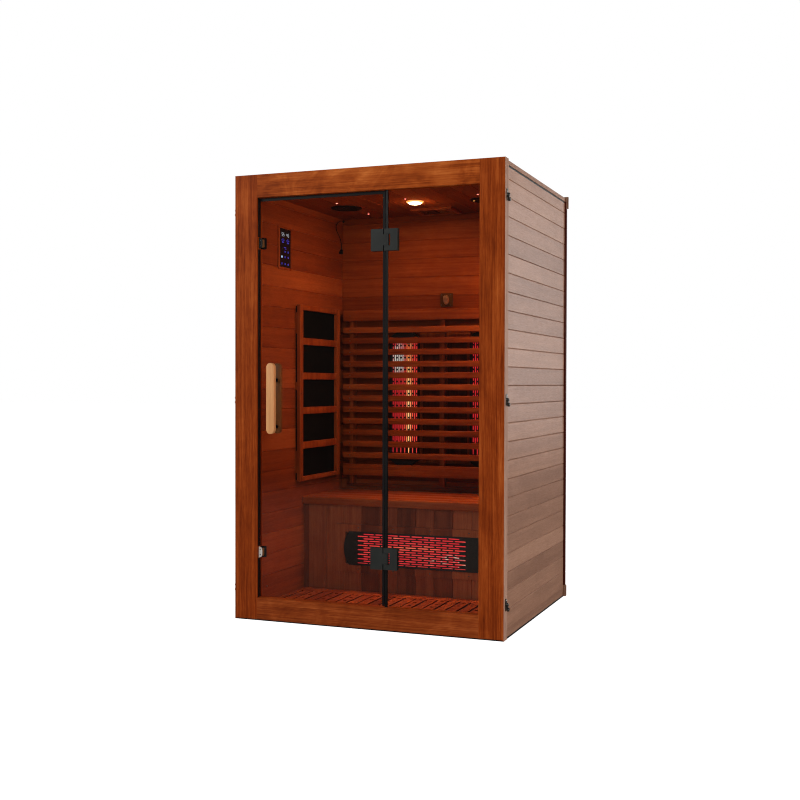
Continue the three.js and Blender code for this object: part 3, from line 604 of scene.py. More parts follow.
def catmull(points, per=4):
    """Centripetal Catmull-Rom curve through the points."""
    p = [Vector(q) for q in points]
    p = [p[0] * 2 - p[1], *p, p[-1] * 2 - p[-2]]
    out = []
    for a, b, c, d in zip(p, p[1:], p[2:], p[3:]):
        t0 = 0.0
        t1 = t0 + (b - a).length ** 0.5
        t2 = t1 + (c - b).length ** 0.5
        t3 = t2 + (d - c).length ** 0.5
        for k in range(per):
            t = t1 + (t2 - t1) * k / per
            a1 = a * ((t1 - t) / (t1 - t0)) + b * ((t - t0) / (t1 - t0))
            a2 = b * ((t2 - t) / (t2 - t1)) + c * ((t - t1) / (t2 - t1))
            a3 = c * ((t3 - t) / (t3 - t2)) + d * ((t - t2) / (t3 - t2))
            b1 = a1 * ((t2 - t) / (t2 - t0)) + a2 * ((t - t0) / (t2 - t0))
            b2 = a2 * ((t3 - t) / (t3 - t1)) + a3 * ((t - t1) / (t3 - t1))
            out.append(b1 * ((t2 - t) / (t2 - t1)) + b2 * ((t - t1) / (t2 - t1)))
    out.append(p[-2])
    return out


lead_points = [q * MM for q in catmull(LEAD, 3)]
curve = bpy.data.curves.new("sensor_lead", "CURVE")
curve.dimensions = "3D"
curve.bevel_depth = 2.0 * MM
curve.bevel_resolution = 4
curve.use_fill_caps = True
spline = curve.splines.new("POLY")
spline.points.add(len(lead_points) - 1)
for sp, q in zip(spline.points, lead_points):
    sp.co = (*q, 1)
spline.use_smooth = True
curve.materials.append(M["cord"])
sensor_lead = bpy.data.objects.new("sensor_lead", curve)
scene.collection.objects.link(sensor_lead)
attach(sensor_lead, "cabin")
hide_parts("sensor_cord")

# ---------------------------------------------------------------------- shell
dress("floor_base", "floor_base", 1.5)
dress("left_wall", "side_wall", 0.5, 1)
dress("right_wall", "side_wall", 0.5, 1)
dress("back_wall", "back_wall", 0.6, 1)
dress("roof_panel", "roof", 0.6, 1)
dress("left_stile", "stile", 2.2, 3)
dress("right_stile", "stile", 2.2, 3)
dress("header_rail", "rail", 1.6, 3)
dress("sill_rail", "sill", 1.6, 3)
dress("fixed_glass", "glass", 0.8, 1)
dress("door_glass", "glass", 0.8, 1)
for k in ("upper", "middle", "lower"):
    dress(f"door_seal_{k}", "seal", 1.4, 3)

Shape().lathe([(0, 81), (5.8, 81), (6.5, 81.7), (6.5, 1817.8), (5.8, 1818.5), (0, 1818.5)], "z", (93, -498), 40).done(
    "hinge_post", "black_metal", nodes=["pivot_post"], slot="black_metal")

# ------------------------------------------------------------ hinges and catch
for which, zc in (("upper", 1600), ("lower", 294)):
    dress(f"{which}_hinge_fixed_leaf", "hinge", 0.9, 2)
    dress(f"{which}_hinge_door_leaf", "hinge", 0.9, 2)
    s = Shape()
    for z in (zc - 30, zc + 30):
        s.screw("y", (131.5, z), -488, 4.2, 1.0)
    s.done(f"{which}_hinge_fixed_screws", "dark_steel", slot="steel")
    s = Shape()
    for z in (zc - 30, zc + 30):
        s.screw("y", (38, z), -488, 4.2, 1.0)
    s.done(f"{which}_hinge_door_screws", "dark_steel", "door", slot="steel")

bar = rounded(-441, -405, 798, 1099, 17.9, 9)
Shape().prism(bar, "y", -538, -520, r=4.6, seg=5).done("door_handle_outer", "handle", "door", ["handle_outer"], "handle_wood", 50)
Shape().prism(bar, "y", -476, -458, r=4.6, seg=5).done("door_handle_inner", "handle_in_painted_shade", "door", ["handle_inner"], "handle_wood", 50)
for which, z in (("upper", 1027), ("lower", 828)):
    s = Shape()
    s.lathe([(0, -520.2), (8, -520.2), (8, -504), (9.5, -503.2), (9.5, -502.4), (0, -502.4)], "y", (-423, z), 28)
    s.lathe([(0, -493.6), (9.5, -493.6), (9.5, -492.8), (8, -492), (8, -475.8), (0, -475.8)], "y", (-423, z), 28)
    s.lathe([(0, -502.6), (5, -502.6), (5, -493.4), (0, -493.4)], "y", (-423, z), 20)
    s.done(f"door_handle_bolt_{which}", "black_metal", "door", [f"handle_bolt_{which}"], "black_metal")

# the lower strike plate is painted pale and the upper one dark grey: one kind of plate, painted as a lit and a shaded
# copy
for which, z, skin in (("upper", 1610, "hinge"), ("lower", 290, "strike")):
    dress(f"strike_plate_{which}", skin, 0.7, 2)
    s = Shape()
    s.prism(rounded(-494.6, -468.2, z - 23.9, z + 23.9, 4, 4), "y", -487.6, -480.1, r=1.0, seg=2)
    for dz in (-20.5, 20.5):
        s.prism(rounded(-488, -474.5, z + dz - 3.4, z + dz + 3.4, 3.2, 4), "y", -493.3, -487.4, r=0.8, seg=2)
    s.done(f"magnet_housing_{which}", "black_plastic", nodes=[f"magnet_block_{which}"], slot="black_plastic")
    # magnet face in the orange catch finish: a painted warm highlight
    s = Shape()
    s.prism(rounded(-486.5, -476, z - 16.4, z + 16.4, 2.0, 3), "y", -493.3, -487.5, r=0.8, seg=2)
    s.done(f"magnet_face_{which}", "catch", slot="steel")
    s = Shape()
    for dz in (-11, 11):
        s.lathe([(0, -507.2), (1.6, -507.2), (2.4, -506.4), (2.4, -504.8), (0, -504.8)], "y", (-486, z + dz), 14)
    s.done(f"strike_screws_{which}", "dark_steel", "door", slot="steel")
    s = Shape()
    for dz in (-14, 14):
        s.screw("y", (-473.5, z + dz), -480, 2.6, 0.8)
    s.done(f"magnet_screws_{which}", "steel", slot="steel")

# back of the hinge pockets, dark strip on the reveal of the left stile
s = Shape()
for zc in (1600, 294):
    s.box(104.2, 112.0, -493.6, -488.4, zc - 23.2, zc + 23.2, 0.6, 2)
s.done("hinge_pocket_backs", "seal", slot="black_seal")
s = Shape()
for a, b in ((97, 264), (316, 1584), (1636, 1802)):
    s.box(-494.95, -494.05, -511, -486.5, a, b, 0.3, 2)
s.done("door_stop_strip", "seal", slot="black_seal")

# painted shade: dark strips in the shadow gap under the roof edge, and a black painted contact shadow under the base
s = Shape()
for a, b in ((586.3, 597.4), (-597.4, -586.3)):
    s.box(a, b, -474.4, 496.6, 1868.6, 1875.7, 0.8, 2)
s.done("roof_gap_strips", "gap_painted_shade", slot="black_seal")
# painted contact shadow: black strips along the foot of the base
s = Shape()
for a, b in ((597.1, 598.9), (-598.9, -597.1)):
    s.box(a, b, -474, 496, 0.2, 6.4, 0.6, 2)
s.box(-593, 596, -521.6, -520.1, 0.2, 4.6, 0.5, 2)
s.done("ground_strips", "seal", slot="black_seal")

# painted shade: dark strips on the ends of the back panel, where its edges fall in shadow
s = Shape()
for a, b in ((605.4, 606.4), (-606.4, -605.4)):
    s.box(a, b, 496.4, 515.0, 56, 1841, 0.4, 2)
    s.box(min(a, b, 598.4 if a > 0 else -606.4), max(a, b) if a > 0 else -598.4, 496.4, 497.2, 56, 1875, 0.3, 2)
s.done("back_edge_strips", "back_edge_shade", slot="panel_wood")

# --------------------------------------------------------------- side latches
for side, sg in (("right", 1), ("left", -1)):
    plates, screws = Shape(), Shape()
    for which, z in (("top", 1756), ("middle", 950), ("bottom", 142)):
        plates.prism(rounded(-506.5, -487.5, z - 24, z + 24, 9.4, 8), "x", sg * 600.05, sg * 602.6, holes=[circle(-497, z, 8.6, 28)])
        for dz in (-17, 17):
            screws.screw("x", (-497, z + dz), sg * 602.6, 3.6, sg * 0.7)
        s = Shape()
        s.lathe([(0, sg * 600.3), (8.0, sg * 600.3), (8.0, sg * 604.4), (7.3, sg * 605.2), (0, sg * 605.2)], "x", (-497, z), 32)
        s.prism(rounded(-502.5, -491.5, z - 26, z + 7, 5.4, 6), "x", sg * 604.6, sg * 610, r=1.2, seg=2)
        top = 616.0 if sg > 0 else 612.3
        s.lathe([(0, sg * 605), (6.6, sg * 605), (7.5, sg * 607.5), (7.5, sg * (top - 3.5)), (6.4, sg * (top - 0.8)), (3.0, sg * top), (0, sg * top)], "x", (-497, z - 19), 28)
        s.lathe([(0, sg * 609.5), (5.4, sg * 609.5), (5.4, sg * 611.6), (4.4, sg * 612.4), (0, sg * 612.6)], "x", (-497, z), 20)
        s.done(f"{side}_turn_latch_{which}", "dark_steel", f"{side}_latch_{which}_turn", [f"{side}_latch_{which}"], "steel")
    plates.done(f"{side}_latch_plates", "dark_steel", slot="steel")
    screws.done(f"{side}_latch_screws", "steel", slot="steel")

# ------------------------------------------------------------- control panel
dress("control_bezel", "inner_z", 1.8, 3)
dress("control_screen", "screen", 0.6, 2)


X0S, X1S = -542.55, -542.0


def seven(s, y, z, w, h, t, digit):
    """One seven-segment digit facing into the cabin."""
    on = {"0": "abcdef", "2": "abged", "4": "fgbc", "5": "afgcd", "6": "afgedc", "3": "abgcd"}[digit]
    bars = {"a": (y + t, y + w - t, z + h - t, z + h), "g": (y + t, y + w - t, z + h / 2 - t / 2, z + h / 2 + t / 2), "d": (y + t, y + w - t, z, z + t),
            "f": (y, y + t, z + h / 2, z + h - t), "b": (y + w - t, y + w, z + h / 2, z + h - t), "e": (y, y + t, z + t, z + h / 2), "c": (y + w - t, y + w, z + t, z + h / 2)}
    for k in on:
        a, b, c, d = bars[k]
        s.box(X0S, X1S, a, b, c, d, 0.15, 1)


s = Shape()
for y, digit in ((-199, "5"), (-184, "5"), (-154, "4"), (-139, "5")):
    seven(s, y, 1681, 11, 17, 2.4, digit)
s.done("screen_digits", "digits", slot="black_gloss")
s = Shape()
for y in (-187, -138):
    for a in range(5):
        t = math.radians(90 + 72 * a)
        cy, cz = y + 10 * math.cos(t), 1661 + 8.5 * math.sin(t)
        s.prism(circle(cy, cz, 3.2, 10), "x", X0S, X1S, holes=[circle(cy, cz, 1.2, 10)])
    s.box(X0S, X1S, y - 1.2, y + 1.2, 1650, 1664, 0.2, 1)
s.box(X0S, X1S, -178, -156, 1630, 1633, 0.2, 1)
s.box(X0S, X1S, -168, -154, 1624, 1627, 0.2, 1)
for z, ys in ((1612, (-166, -135)), (1588, (-166, -135)), (1556.5, (-196.5, -165.5, -135))):
    for y in ys:
        s.prism(circle(y, z, 4.8, 14), "x", X0S, X1S, holes=[circle(y, z, 2.2, 14)])
s.done("screen_signs", "icons", slot="black_gloss")
Shape().lathe([(0, X0S), (5.6, X0S), (5.6, X1S), (0, X1S + 0.1)], "x", (-196.5, 1587.5), 20).done("screen_lit_sign", "icon_lit", slot="black_gloss")

# ------------------------------------------------------- carbon wall heaters
for side, sg in (("left", -1), ("right", 1)):
    dress(f"{side}_heater_panel", "carbon", 0.8, 2)
    s = Shape()
    a, b = sorted((sg * 521, sg * 539))
    s.box(a, b, -52, -19, 555, 1380, 1.6, 3)
    s.box(a, b, 362, 396, 555, 1380, 1.6, 3)
    a, b = sorted((sg * 521.8, sg * 538.6))
    edges = [1380.0]
    for k in range(5):
        zt = 1357 - 162.75 * k
        edges += [zt, zt - 131]
    edges.append(555.0)
    for hi, lo in zip(edges[0::2], edges[1::2]):
        s.box(a, b, -19.4, 362.4, lo, hi, 1.4, 2)
    s.done(f"{side}_wall_heater_frame", "inner_z", nodes=[f"{side}_heater_frame"], slot="inner_wood")
    s = Shape()
    for lo, hi in ((594, 697), (981, 1018), (1245, 1343)):
        s.box(min(sg * 539.2, sg * 546.8), max(sg * 539.2, sg * 546.8), -51, -47.3, lo, hi, 0.6, 1)
        s.box(min(sg * 539.2, sg * 546.8), max(sg * 539.2, sg * 546.8), 391.3, 395, lo, hi, 0.6, 1)
    s.done(f"{side}_heater_spacers", "inner_z", slot="inner_wood")
    s = Shape()
    for z in (585, 965, 1350):
        for y in (-36, 379):
            s.screw("x", (y, z), sg * 521, 3.0, -sg * 0.8)
    s.done(f"{side}_heater_frame_screws", "dark_steel", slot="steel")

# ------------------------------------------------------------------- backrest
SLATS = [1293, 1240, 1183.5, 1124, 1068, 1009, 953, 897, 839, 782, 725, 668]
s = Shape()
s.box(-514, 514, 418, 436, 1324.5, 1378, 3.0, 3)
for t in SLATS:
    s.box(-514, 514, 418, 436, t - 29, t, 3.0, 3)
s.box(-514, 514, 418, 436, 552, 609, 3.0, 3)
s.box(-514, 514, 437, 480.5, 1366, 1377.6, 1.0, 2)
s.box(-514, 514, 466, 480.5, 494, 508, 2.0, 2)
s.done("backrest_slats", "inner_x", nodes=["backrest"], slot="inner_wood")
s = Shape()
for a, b, back in ((-486, -466, 480.5), (-6, 20, 461.6), (466, 486, 480.5)):
    s.box(a, b, 436.3, back, 508.4, 1365.6, 1.2, 2)
s.done("backrest_battens", "inner_z", slot="inner_wood")
s = Shape()
for x in (-476, 476):
    for t in SLATS:
        s.screw("y", (x, t - 14.5), 418, 2.8, -0.7)
    for z in (1351, 580):
        s.screw("y", (x, z), 418, 2.8, -0.7)
s.done("backrest_screws", "dark_steel", slot="steel")


# ------------------------------------------------------------ slotted heaters
def arched(c, half, z0, z1, rise, n=14):
    pts = []
    for i in range(n + 1):
        t = -1 + 2 * i / n
        pts.append((c + half * t, z0 + rise * abs(t) ** 2.4))
    for i in range(n + 1):
        t = 1 - 2 * i / n
        pts.append((c + half * t, z1 - rise * abs(t) ** 2.4))
    return pts


def slot_hole(a, b, w, length, n=4):
    """Upright slot with round ends about (a, b)."""
    pts, h, r = [], length / 2 - w / 2, w / 2
    for i in range(n + 1):
        t = math.pi * i / n
        pts.append((a + r * math.cos(t), b + h + r * math.sin(t)))
    for i in range(n + 1):
        t = math.pi + math.pi * i / n
        pts.append((a + r * math.cos(t), b - h + r * math.sin(t)))
    return pts


def trough(bm_shape, line, half, z0, z1, y_deep, y_edge, t=0.8, n=24, flip=False):
    """Curved reflector sheet, run along its length."""
    pts = []
    for i in range(n + 1):
        u = -1 + 2 * i / n
        pts.append((line + half * u, y_deep + (y_edge - y_deep) * u * u))
    section = pts + [(a, b + t) for a, b in reversed(pts)]
    bm = bmesh.new()
    put = (lambda a, b, h: (h, b, a)) if flip else (lambda a, b, h: (a, b, h))
    lo = [bm.verts.new(put(a, b, z0)) for a, b in section]
    hi = [bm.verts.new(put(a, b, z1)) for a, b in section]
    m = len(section)
    for i in range(m):
        bm.faces.new([lo[i], lo[(i + 1) % m], hi[(i + 1) % m], hi[i]])
    for i in range(n):
        bm.faces.new([lo[i], lo[i + 1], lo[m - 2 - i], lo[m - 1 - i]])
        bm.faces.new([hi[i], hi[i + 1], hi[m - 2 - i], hi[m - 1 - i]])
    bmesh.ops.recalc_face_normals(bm, faces=bm.faces[:])
    return bm_shape.merge(bm)


for side, cx in (("left", -197), ("right", 221)):
    holes = []
    for i in range(13):
        x = cx - 56.2 + i * 10.4
        for k in range(9):
            holes.append(slot_hole(x, (695.25 if i % 2 == 0 else 725.0) + 59.5 * k, 4.5, 52.0))
        if i % 2 == 0:
            holes.append(slot_hole(x, 1218.0, 4.5, 27.0))
    s = Shape()
    s.prism(arched(cx, 75, 603, 1272, 34), "y", 446, 447.4, holes=holes)
    s.prism(arched(cx, 75, 603, 1272, 34), "y", 447.5, 480.6, holes=[arched(cx, 73.4, 604.6, 1270.4, 33.4)])
    s.done(f"rear_{side}_heater_housing", "heater", nodes=[f"rear_{side}_heater"], slot="black_metal", smooth=30)
    # the reflectors glow with painted reflected light of their rods; the left one also carries a pale painted
    # reflection of the ceiling lamp
    M[f"trough_{side}"] = glowing(f"rear_{side}_reflector", painted_reflector_glow(0, cx + 20, 98, 2, (cx - 36, 1132, 34, 92, 2.0) if side == "left" else None, (1.0, 0.44, 0.17)), 1.35, (0.05, 0.01, 0.01))
    trough(Shape(), cx, 69, 642, 1236, 478.0, 456.0).done(f"rear_{side}_reflector", f"trough_{side}", slot="heater_rod")
    M[f"rod_{side}"] = glowing(f"rear_{side}_rod_glow", rod_colour(2, (900, 330)), 1.9, (0.6, 0.15, 0.05))
    s = Shape()
    s.lathe([(0, 640), (6.6, 640), (7.4, 642), (7.4, 1206), (6.6, 1208), (0, 1208)], "z", (cx + 18, 465), 24)
    s.done(f"rear_{side}_heater_rod", f"rod_{side}", nodes=[f"rear_{side}_rod"], slot="heater_rod")
    s = Shape()
    for a, b in ((611, 640.2), (1207.8, 1264)):
        s.lathe([(0, a), (8, a), (8.4, a + 2), (8.4, b - 2), (8, b), (0, b)], "z", (cx + 18, 465), 24)
    s.done(f"rear_{side}_rod_holders", "ceramic", slot="heater_rod")
    s = Shape()
    for x, z in ((cx - 52, 1248), (cx + 52, 1248), (cx, 614)):
        s.screw("y", (x, z), 446, 3.0, -0.8)
    s.done(f"rear_{side}_heater_screws", "black_metal", slot="black_metal")

dress("rear_centre_panel", "inner_z", 1.2, 2)
# painted shade: dark timber fields between the rear heaters where the back wall lies in shadow
s = Shape()
s.box(-102.5, -10.5, 468.5, 471.6, 650, 1238, 0.8, 2)
s.box(24.5, 126.5, 468.5, 471.6, 650, 1238, 0.8, 2)
s.done("rear_centre_fields", "recess_painted_shade", slot="inner_wood")

# ---------------------------------------------------------------------- bench
s = Shape()
s.box(-546.5, 546.5, 23, 63.4, 443, 479, 4.0, 4)
for a, b in ((64.4, 167.4), (168.4, 271.4), (272.4, 375.4), (376.4, 480.4)):
    s.box(-546.5, 546.5, a, b, 449, 478.6, 1.6, 2)
s.done("bench_seat_boards", "bench_seat", nodes=["bench_seat"], slot="inner_wood")
dress("bench_front_panel", "bench_boards", 0.0)
dress("bench_heater_board", "bench_boards", 1.6, 2)
s = Shape()
for x in (-264, -90, 90, 276):
    for z in (341, 148):
        s.screw("y", (x, z), 37, 3.2, -0.6)
s.done("bench_board_screws", "dark_steel", slot="steel")

CXB, ZCB = 6, 245
outline = [(b, a) for a, b in arched(ZCB, 78, CXB - 340, CXB + 340, 26)]
inner = [(b, a) for a, b in arched(ZCB, 71.5, CXB - 333, CXB + 333, 24)]
tub_out = [(b, a) for a, b in arched(ZCB, 73, CXB - 334, CXB + 334, 24)]
holes = []
for i in range(14):
    z = ZCB + (i - 6.5) * 10.4
    x = -239.0 if i % 2 == 0 else -209.25
    while x + 26 < 292:
        holes.append([(a, b) for b, a in slot_hole(z, x, 5.0, 52.0)])
        x += 59.5
s = Shape()
s.prism(outline, "y", 31.0, 32.4, holes=holes)
s.prism(outline, "y", 32.5, 36.6, holes=[inner])
s.prism(tub_out, "y", 36.7, 74.0, holes=[inner])
s.done("bench_heater_housing", "heater", nodes=["bench_heater"], slot="black_metal", smooth=30)


def painted_bench_reflector_glow(n, co):
    """Painted crimson glow of the rod's reflected light on the reflector, streaked along its length, with a few painted
    pale highlights low on the right.
    """
    x, y, z = n.sep(co)
    streak = n.noise(n.vec("MULTIPLY", co, (9.0, 1.0, 95.0)), 1.0, 3.0, 0.6)
    base = n.ramp(streak, [(0.30, (0.42, 0.010, 0.018)), (0.46, (0.78, 0.022, 0.034)), (0.60, (0.92, 0.05, 0.05)), (0.74, (1.0, 0.24, 0.14))])
    a = n.math("DIVIDE", n.math("SUBTRACT", x, 0.176), 0.105)
    b = n.math("DIVIDE", n.math("SUBTRACT", z, 0.206), 0.028)
    r = n.math("SQRT", n.math("ADD", n.math("MULTIPLY", a, a), n.math("MULTIPLY", b, b)))
    highlight_area = n.remap(r, 0.7, 1.15, 1.0, 0.0)
    painted_highlight_spots = n.remap(n.noise(n.vec("ADD", n.vec("MULTIPLY", co, (24.0, 1.0, 110.0)), (3.3, 0.0, 1.7)), 1.0, 2.0, 0.5), 0.54, 0.60, 0.0, 1.0)
    return n.mix(n.math("MULTIPLY", highlight_area, painted_highlight_spots), base, (0.72, 0.60, 0.48))


# painted glow: the bench reflector shines with the rod's reflected light, painted on as emission
M["trough_bench"] = glowing("bench_reflector", painted_bench_reflector_glow, 1.0, (0.05, 0.01, 0.01))
trough(Shape(), ZCB, 69.5, CXB - 300, CXB + 300, 71.5, 42.0, flip=True).done("bench_reflector", "trough_bench", slot="heater_rod")
M["rod_bench"] = glowing("bench_rod_glow", rod_red(0, (CXB, 320)), 0.95, (0.6, 0.12, 0.05))
s = Shape()
s.lathe([(0, CXB - 290), (6.8, CXB - 290), (7.4, CXB - 288), (7.4, CXB + 288), (6.8, CXB + 290), (0, CXB + 290)], "x", (54, ZCB + 10), 24)
s.done("bench_rod", "rod_bench", nodes=["bench_heater_rod"], slot="heater_rod")
s = Shape()
for a, b in ((CXB - 327, CXB - 289.8), (CXB + 289.8, CXB + 327)):
    s.lathe([(0, a), (8, a), (8.4, a + 2), (8.4, b - 2), (8, b), (0, b)], "x", (54, ZCB + 10), 24)
s.done("bench_rod_holders", "ceramic", slot="heater_rod")

# ------------------------------------------------------------------ duckboard
s = Shape()
x0, pitch = -507.0, 51.25
s.box(-536, 536, -470, -426, 34, 48, 2.0, 3)
s.box(-536, 536, -45, 30, 34, 48, 2.0, 3)
cells = [(-536.0, -512.0)] + [(x0 + pitch * i + 5, x0 + pitch * (i + 1) - 5) for i in range(20)] + [(523.0, 536.0)]
for i, (a, b) in enumerate(cells):
    if i % 2 == 0 and 0 < i < 21:
        c = (a + b) / 2
        s.prism(rounded(a, b, -426, -45, 2.0, 2), "z", 34, 47.7, holes=[oval(c, -66 - 68.5 * k, 9.5, 9.5, 16) for k in range(6)])
    else:
        s.box(a, b, -426, -45, 34, 47.7, 2.0, 3)
for y in (-455, -210, 15):
    s.box(-536, 536, y - 15, y + 15, 24.3, 33.9, 1.0, 1)
s.done("floor_slats", "duck", nodes=["duckboard"], slot="inner_wood")

# -------------------------------------------------------------------- ceiling
# the lamp's trim ring; its orange glow is painted lamp light
s = Shape()
s.lathe([(0, 1844.7), (40, 1844.7), (40, 1842), (37, 1838.6), (33, 1838.2), (31.4, 1840.4), (0, 1840.4)], "z", (5, 60), 40)
s.done("lamp_ring", "lamp_trim", slot="steel")
s = Shape()
s.lathe([(0, 1840.2), (31, 1840.2), (31, 1838.4), (27, 1834.6), (19, 1831.2), (9, 1829.4), (0, 1829.0)], "z", (5, 60), 40)
s.done("lamp_lens", "lamp", nodes=["ceiling_lamp"], slot="lamp_glass")
grille_holes = []
for i in range(-9, 10):
    for j in range(-9, 10):
        gx, gy = (i + (j % 2) * 0.5) * 6.6, j * 5.72
        if math.hypot(gx, gy) < 51:
            grille_holes.append((gx, gy))
for side, cx in (("left", -365), ("right", 327)):
    s = Shape()
    s.lathe([(55.5, 1842.5), (56.5, 1838.4), (62, 1837.4), (70, 1838.6), (73.4, 1841.2), (74, 1844.7), (60, 1844.7), (55.5, 1844.7), (55.5, 1842.5)], "z", (cx, 125), 56)
    s.prism(circle(cx, 125, 55.4, 48), "z", 1839.6, 1840.8, holes=[circle(cx + a, 125 + b, 2.1, 8) for a, b in grille_holes])
    s.lathe([(0, 1844.6), (55.3, 1844.6), (55.3, 1843.6), (0, 1843.6)], "z", (cx, 125), 40)
    s.done(f"{side}_ceiling_speaker", "black_plastic", nodes=[f"{side}_speaker"], slot="black_plastic", smooth=35)
dress("vent_frame", "inner_y", 1.4, 2)
dress("vent_slider", "vent_cover", 0.8, 2)
s = Shape()
for x in (-82, 104):
    for y in (262, 418):
        s.screw("z", (x, y), 1833, 2.8, -0.6)
s.done("vent_frame_screws", "dark_steel", slot="steel")

STARS = [(-348, -25), (-337, 325), (-6, -34), (337, -41), (337, 325)]
rings, lens = Shape(), Shape()
for x, y in STARS:
    rings.lathe([(5.0, 1844.7), (8.6, 1844.7), (8.6, 1843.6), (7.4, 1842.6), (5.4, 1842.4), (5.0, 1843.2), (5.0, 1844.7)], "z", (x, y), 24)
    lens.lathe([(0, 1844.6), (4.8, 1844.6), (4.8, 1842.8), (3.6, 1841.4), (1.9, 1840.6), (0, 1840.3)], "z", (x, y), 20)
rings.done("star_light_rings", "steel", slot="steel")
lens.done("star_light_lenses", "star", slot="heater_rod")
Shape().lathe([(0, 1838.4), (2.6, 1838.4), (2.6, 1836.8), (1.5, 1835.8), (0, 1835.5)], "z", (277, 92), 16).done("speaker_light", "amber", slot="lamp_glass")

# ------------------------------------------------------- sensor, hook, supply
s = Shape()
s.box(-546.7, -533, 437, 463, 1668, 1680, 2.0, 3)
s.box(-546.4, -535.6, 451, 463, 1679, 1690, 1.5, 2)
s.lathe([(0, 1688), (4.6, 1688), (4.6, 1689.4), (2.8, 1692.2), (0, 1692.2)], "z", (-541, 457), 18)
s.done("sensor_body", "black_plastic", nodes=["temperature_sensor"], slot="black_plastic")
Shape().lathe([(2.2, 480.8), (6.5, 480.8), (6.5, 479.2), (4.0, 477.4), (2.2, 477.2), (2.2, 480.8)], "y", (-541, 1836), 22).done("lead_grommet", "black_plastic", slot="black_plastic")

s = Shape()
s.prism(rounded(-16, 48, 1391, 1457, 5, 5), "y", 474, 480.6, r=1.6, seg=3)
s.done("robe_hook_plate", "hook_plate", nodes=["robe_hook"], slot="inner_wood")
bm = bmesh.new()
bmesh.ops.create_uvsphere(bm, u_segments=28, v_segments=16, radius=1.0)
for v in bm.verts:
    d = v.co.copy()
    v.co = (17 + d.x * 14.6, 470 + (d.y * 13.6 if d.y < 0 else d.y * 4.0), 1423 + d.z * 23.4)
s = Shape().merge(bm)
s.lathe([(0, 462), (5.2, 462), (4.6, 455), (5.4, 452.4), (8.6, 450.6), (9.6, 448), (8.6, 445.6), (5.0, 444.3), (0, 444.2)], "y", (17, 1434), 28)
s.done("robe_hook_knob", "copper", slot="steel", smooth=50)
s = Shape()
for x in (-10, 38):
    for z in (1399, 1449):
        s.screw("y", (x, z), 474, 2.2, -0.6)
s.done("robe_peg_screws", "dark_steel", slot="steel")
dress("power_box", "box", 2.0, 3)
s = Shape()
for k in range(7):
    s.box(215 + 32 * k, 237 + 32 * k, 186.5, 190.2, 60, 64, 0.8, 2)
s.lathe([(0, 189.9), (12, 189.9), (12, 180), (9, 174), (5, 173), (0, 173)], "y", (440, 62), 24)
s.done("power_box_louvres", "box", slot="box_metal")
s = Shape()
s.lathe([(0, -546.9), (5, -546.9), (5, -545.6), (3.2, -544.4), (0, -544.2)], "x", (-330, 111), 20)
s.done("wall_stud", "steel", slot="steel")
s = Shape()
for x in (-560, -280, 0, 280, 560):
    for y, z in ((527, 1872), (534, 26)):
        s.screw("y", (x, z), y, 4.0, 0.9)
s.done("back_rail_screws", "dark_steel", slot="steel")

# ------------------------------------------------------------ stage and light
n = Net("pale_floor")
co = n.coord()
soft = n.noise(co, 3.0, 3.0, 0.5)
path = n.node("ShaderNodeLightPath")
pale = n.ramp(soft, [(0.3, (0.80, 0.80, 0.80)), (0.7, (0.82, 0.82, 0.82))])
n.principled(Base_Color=n.mix(path.outputs["Is Glossy Ray"], pale, (0.10, 0.10, 0.10)), Roughness=0.9, Specular_IOR_Level=0.1,
             Emission_Color=(1, 1, 1, 1), Emission_Strength=n.math("MULTIPLY", path.outputs["Is Camera Ray"], 0.86))
bm = bmesh.new()
bmesh.ops.create_grid(bm, x_segments=8, y_segments=8, size=40)
me = bpy.data.meshes.new("floor")
bm.to_mesh(me)
bm.free()
me.materials.append(n.mat)
floor = bpy.data.objects.new("floor", me)
floor.location.z = -0.0006
scene.collection.objects.link(floor)

world = bpy.data.worlds.new("studio")
scene.world = world
world.use_nodes = True
wt = world.node_tree
wt.nodes.clear()
wo = wt.nodes.new("ShaderNodeOutputWorld")
bg_seen = wt.nodes.new("ShaderNodeBackground")
bg_seen.inputs[0].default_value = (1, 1, 1, 1)
bg_seen.inputs[1].default_value = 1.0
bg_lit = wt.nodes.new("ShaderNodeBackground")
bg_lit.inputs[0].default_value = (1.0, 0.985, 0.97, 1)
bg_lit.inputs[1].default_value = 0.22
path = wt.nodes.new("ShaderNodeLightPath")
wm = wt.nodes.new("ShaderNodeMixShader")
wt.links.new(path.outputs["Is Camera Ray"], wm.inputs[0])
wt.links.new(bg_lit.outputs[0], wm.inputs[1])
wt.links.new(bg_seen.outputs[0], wm.inputs[2])
bg_shine = wt.nodes.new("ShaderNodeBackground")
bg_shine.inputs[0].default_value = (1, 1, 1, 1)
bg_shine.inputs[1].default_value = 0.03
wg = wt.nodes.new("ShaderNodeMixShader")
wt.links.new(path.outputs["Is Glossy Ray"], wg.inputs[0])
wt.links.new(wm.outputs[0], wg.inputs[1])
wt.links.new(bg_shine.outputs[0], wg.inputs[2])
wt.links.new(wg.outputs[0], wo.inputs[0])


def area(name, at, to, size, power, colour=(1, 1, 1), size_y=None, spread=180.0):
    d = bpy.data.lights.new(name, "AREA")
    d.energy, d.color, d.size = power, colour, size
    d.spread = math.radians(spread)
    if size_y:
        d.shape, d.size_y = "RECTANGLE", size_y
    o = bpy.data.objects.new(name, d)
    o.location = at
    o.rotation_mode = "QUATERNION"
    o.rotation_quaternion = (Vector(to) - Vector(at)).to_track_quat("-Z", "Y")
    o.visible_camera = False
    scene.collection.objects.link(o)
    return o


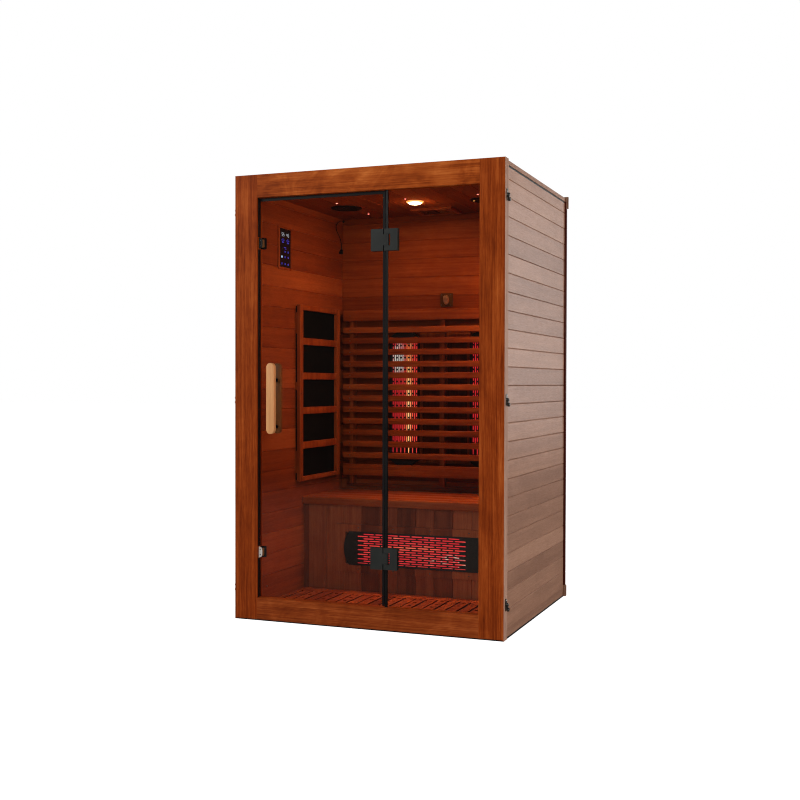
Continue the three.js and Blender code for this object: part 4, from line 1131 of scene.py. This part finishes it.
area("key", (-4.6, -4.2, 3.3), (0.0, -0.5, 0.9), 2.6, 210, (1.0, 0.97, 0.93))
area("fill", (3.6, -4.8, 2.6), (0.2, -0.5, 0.9), 2.4, 120, (1.0, 0.98, 0.96))
area("right_glare", (3.0, 4.6, 1.7), (0.6, 0.0, 1.3), 2.6, 40, (1.0, 0.97, 0.96), 2.4)
area("side", (4.6, 0.2, 1.15), (0.6, 0.0, 0.7), 2.2, 78, (1.0, 0.97, 0.95))
area("left_back", (-4.2, 2.6, 2.6), (-0.4, 0.2, 1.0), 2.6, 60, (1.0, 0.98, 0.97))


def point(name, at, power, colour, radius):
    d = bpy.data.lights.new(name, "POINT")
    d.energy, d.color, d.shadow_soft_size = power, colour, radius
    o = bpy.data.objects.new(name, d)
    o.location = at
    o.visible_camera = False
    scene.collection.objects.link(o)
    return o


LAMP = (1.0, 0.55, 0.23)
lights = [
    point("cabin_lamp", (0.005, 0.06, 1.785), 0.55, LAMP, 0.02),
    area("cabin_lamp_down", (0.005, 0.06, 1.822), (0.005, 0.06, 0.0), 0.06, 2.85, LAMP),
    area("cabin_glow_left", (0.46, -0.16, 1.46), (-0.55, -0.20, 1.34), 0.6, 2.0, LAMP, 0.6, 105.0),
    area("cabin_glow_right", (0.46, 0.02, 1.50), (0.47, 0.48, 1.40), 0.2, 1.6, LAMP, 0.2, 90.0),
    area("cabin_glow_down", (0.20, 0.04, 1.74), (0.18, 0.12, 0.0), 0.3, 3.2, LAMP, 0.3, 80.0),
    area("cabin_glow_front", (0.16, -0.44, 0.34), (0.16, 0.05, 0.18), 0.8, 0.32, (1.0, 0.72, 0.44), 0.3, 140.0),
    area("bench_heat", (0.01, 0.026, 0.245), (0.01, -0.6, 0.20), 0.56, 0.75, (1.0, 0.08, 0.03), 0.14),
    area("rear_heat_left", (-0.197, 0.41, 0.92), (-0.197, -0.2, 0.80), 0.13, 0.8, (1.0, 0.10, 0.04), 0.56),
    area("rear_heat_right", (0.221, 0.41, 0.92), (0.221, -0.2, 0.80), 0.13, 0.8, (1.0, 0.10, 0.04), 0.56),
]
for o in lights:
    o.visible_glossy = False
for name in ("lamp_lens", "lamp_ring"):
    bpy.data.objects[name].visible_glossy = False

scene.view_settings.view_transform = "Standard"
scene.view_settings.look = "None"
scene.cycles.use_denoising = True
scene.cycles.filter_width = 1.1
scene.cycles.max_bounces = 8
scene.cycles.transparent_max_bounces = 12
scene.cycles.sample_clamp_indirect = 6.0
scene.cycles.caustics_reflective = False
scene.cycles.caustics_refractive = False
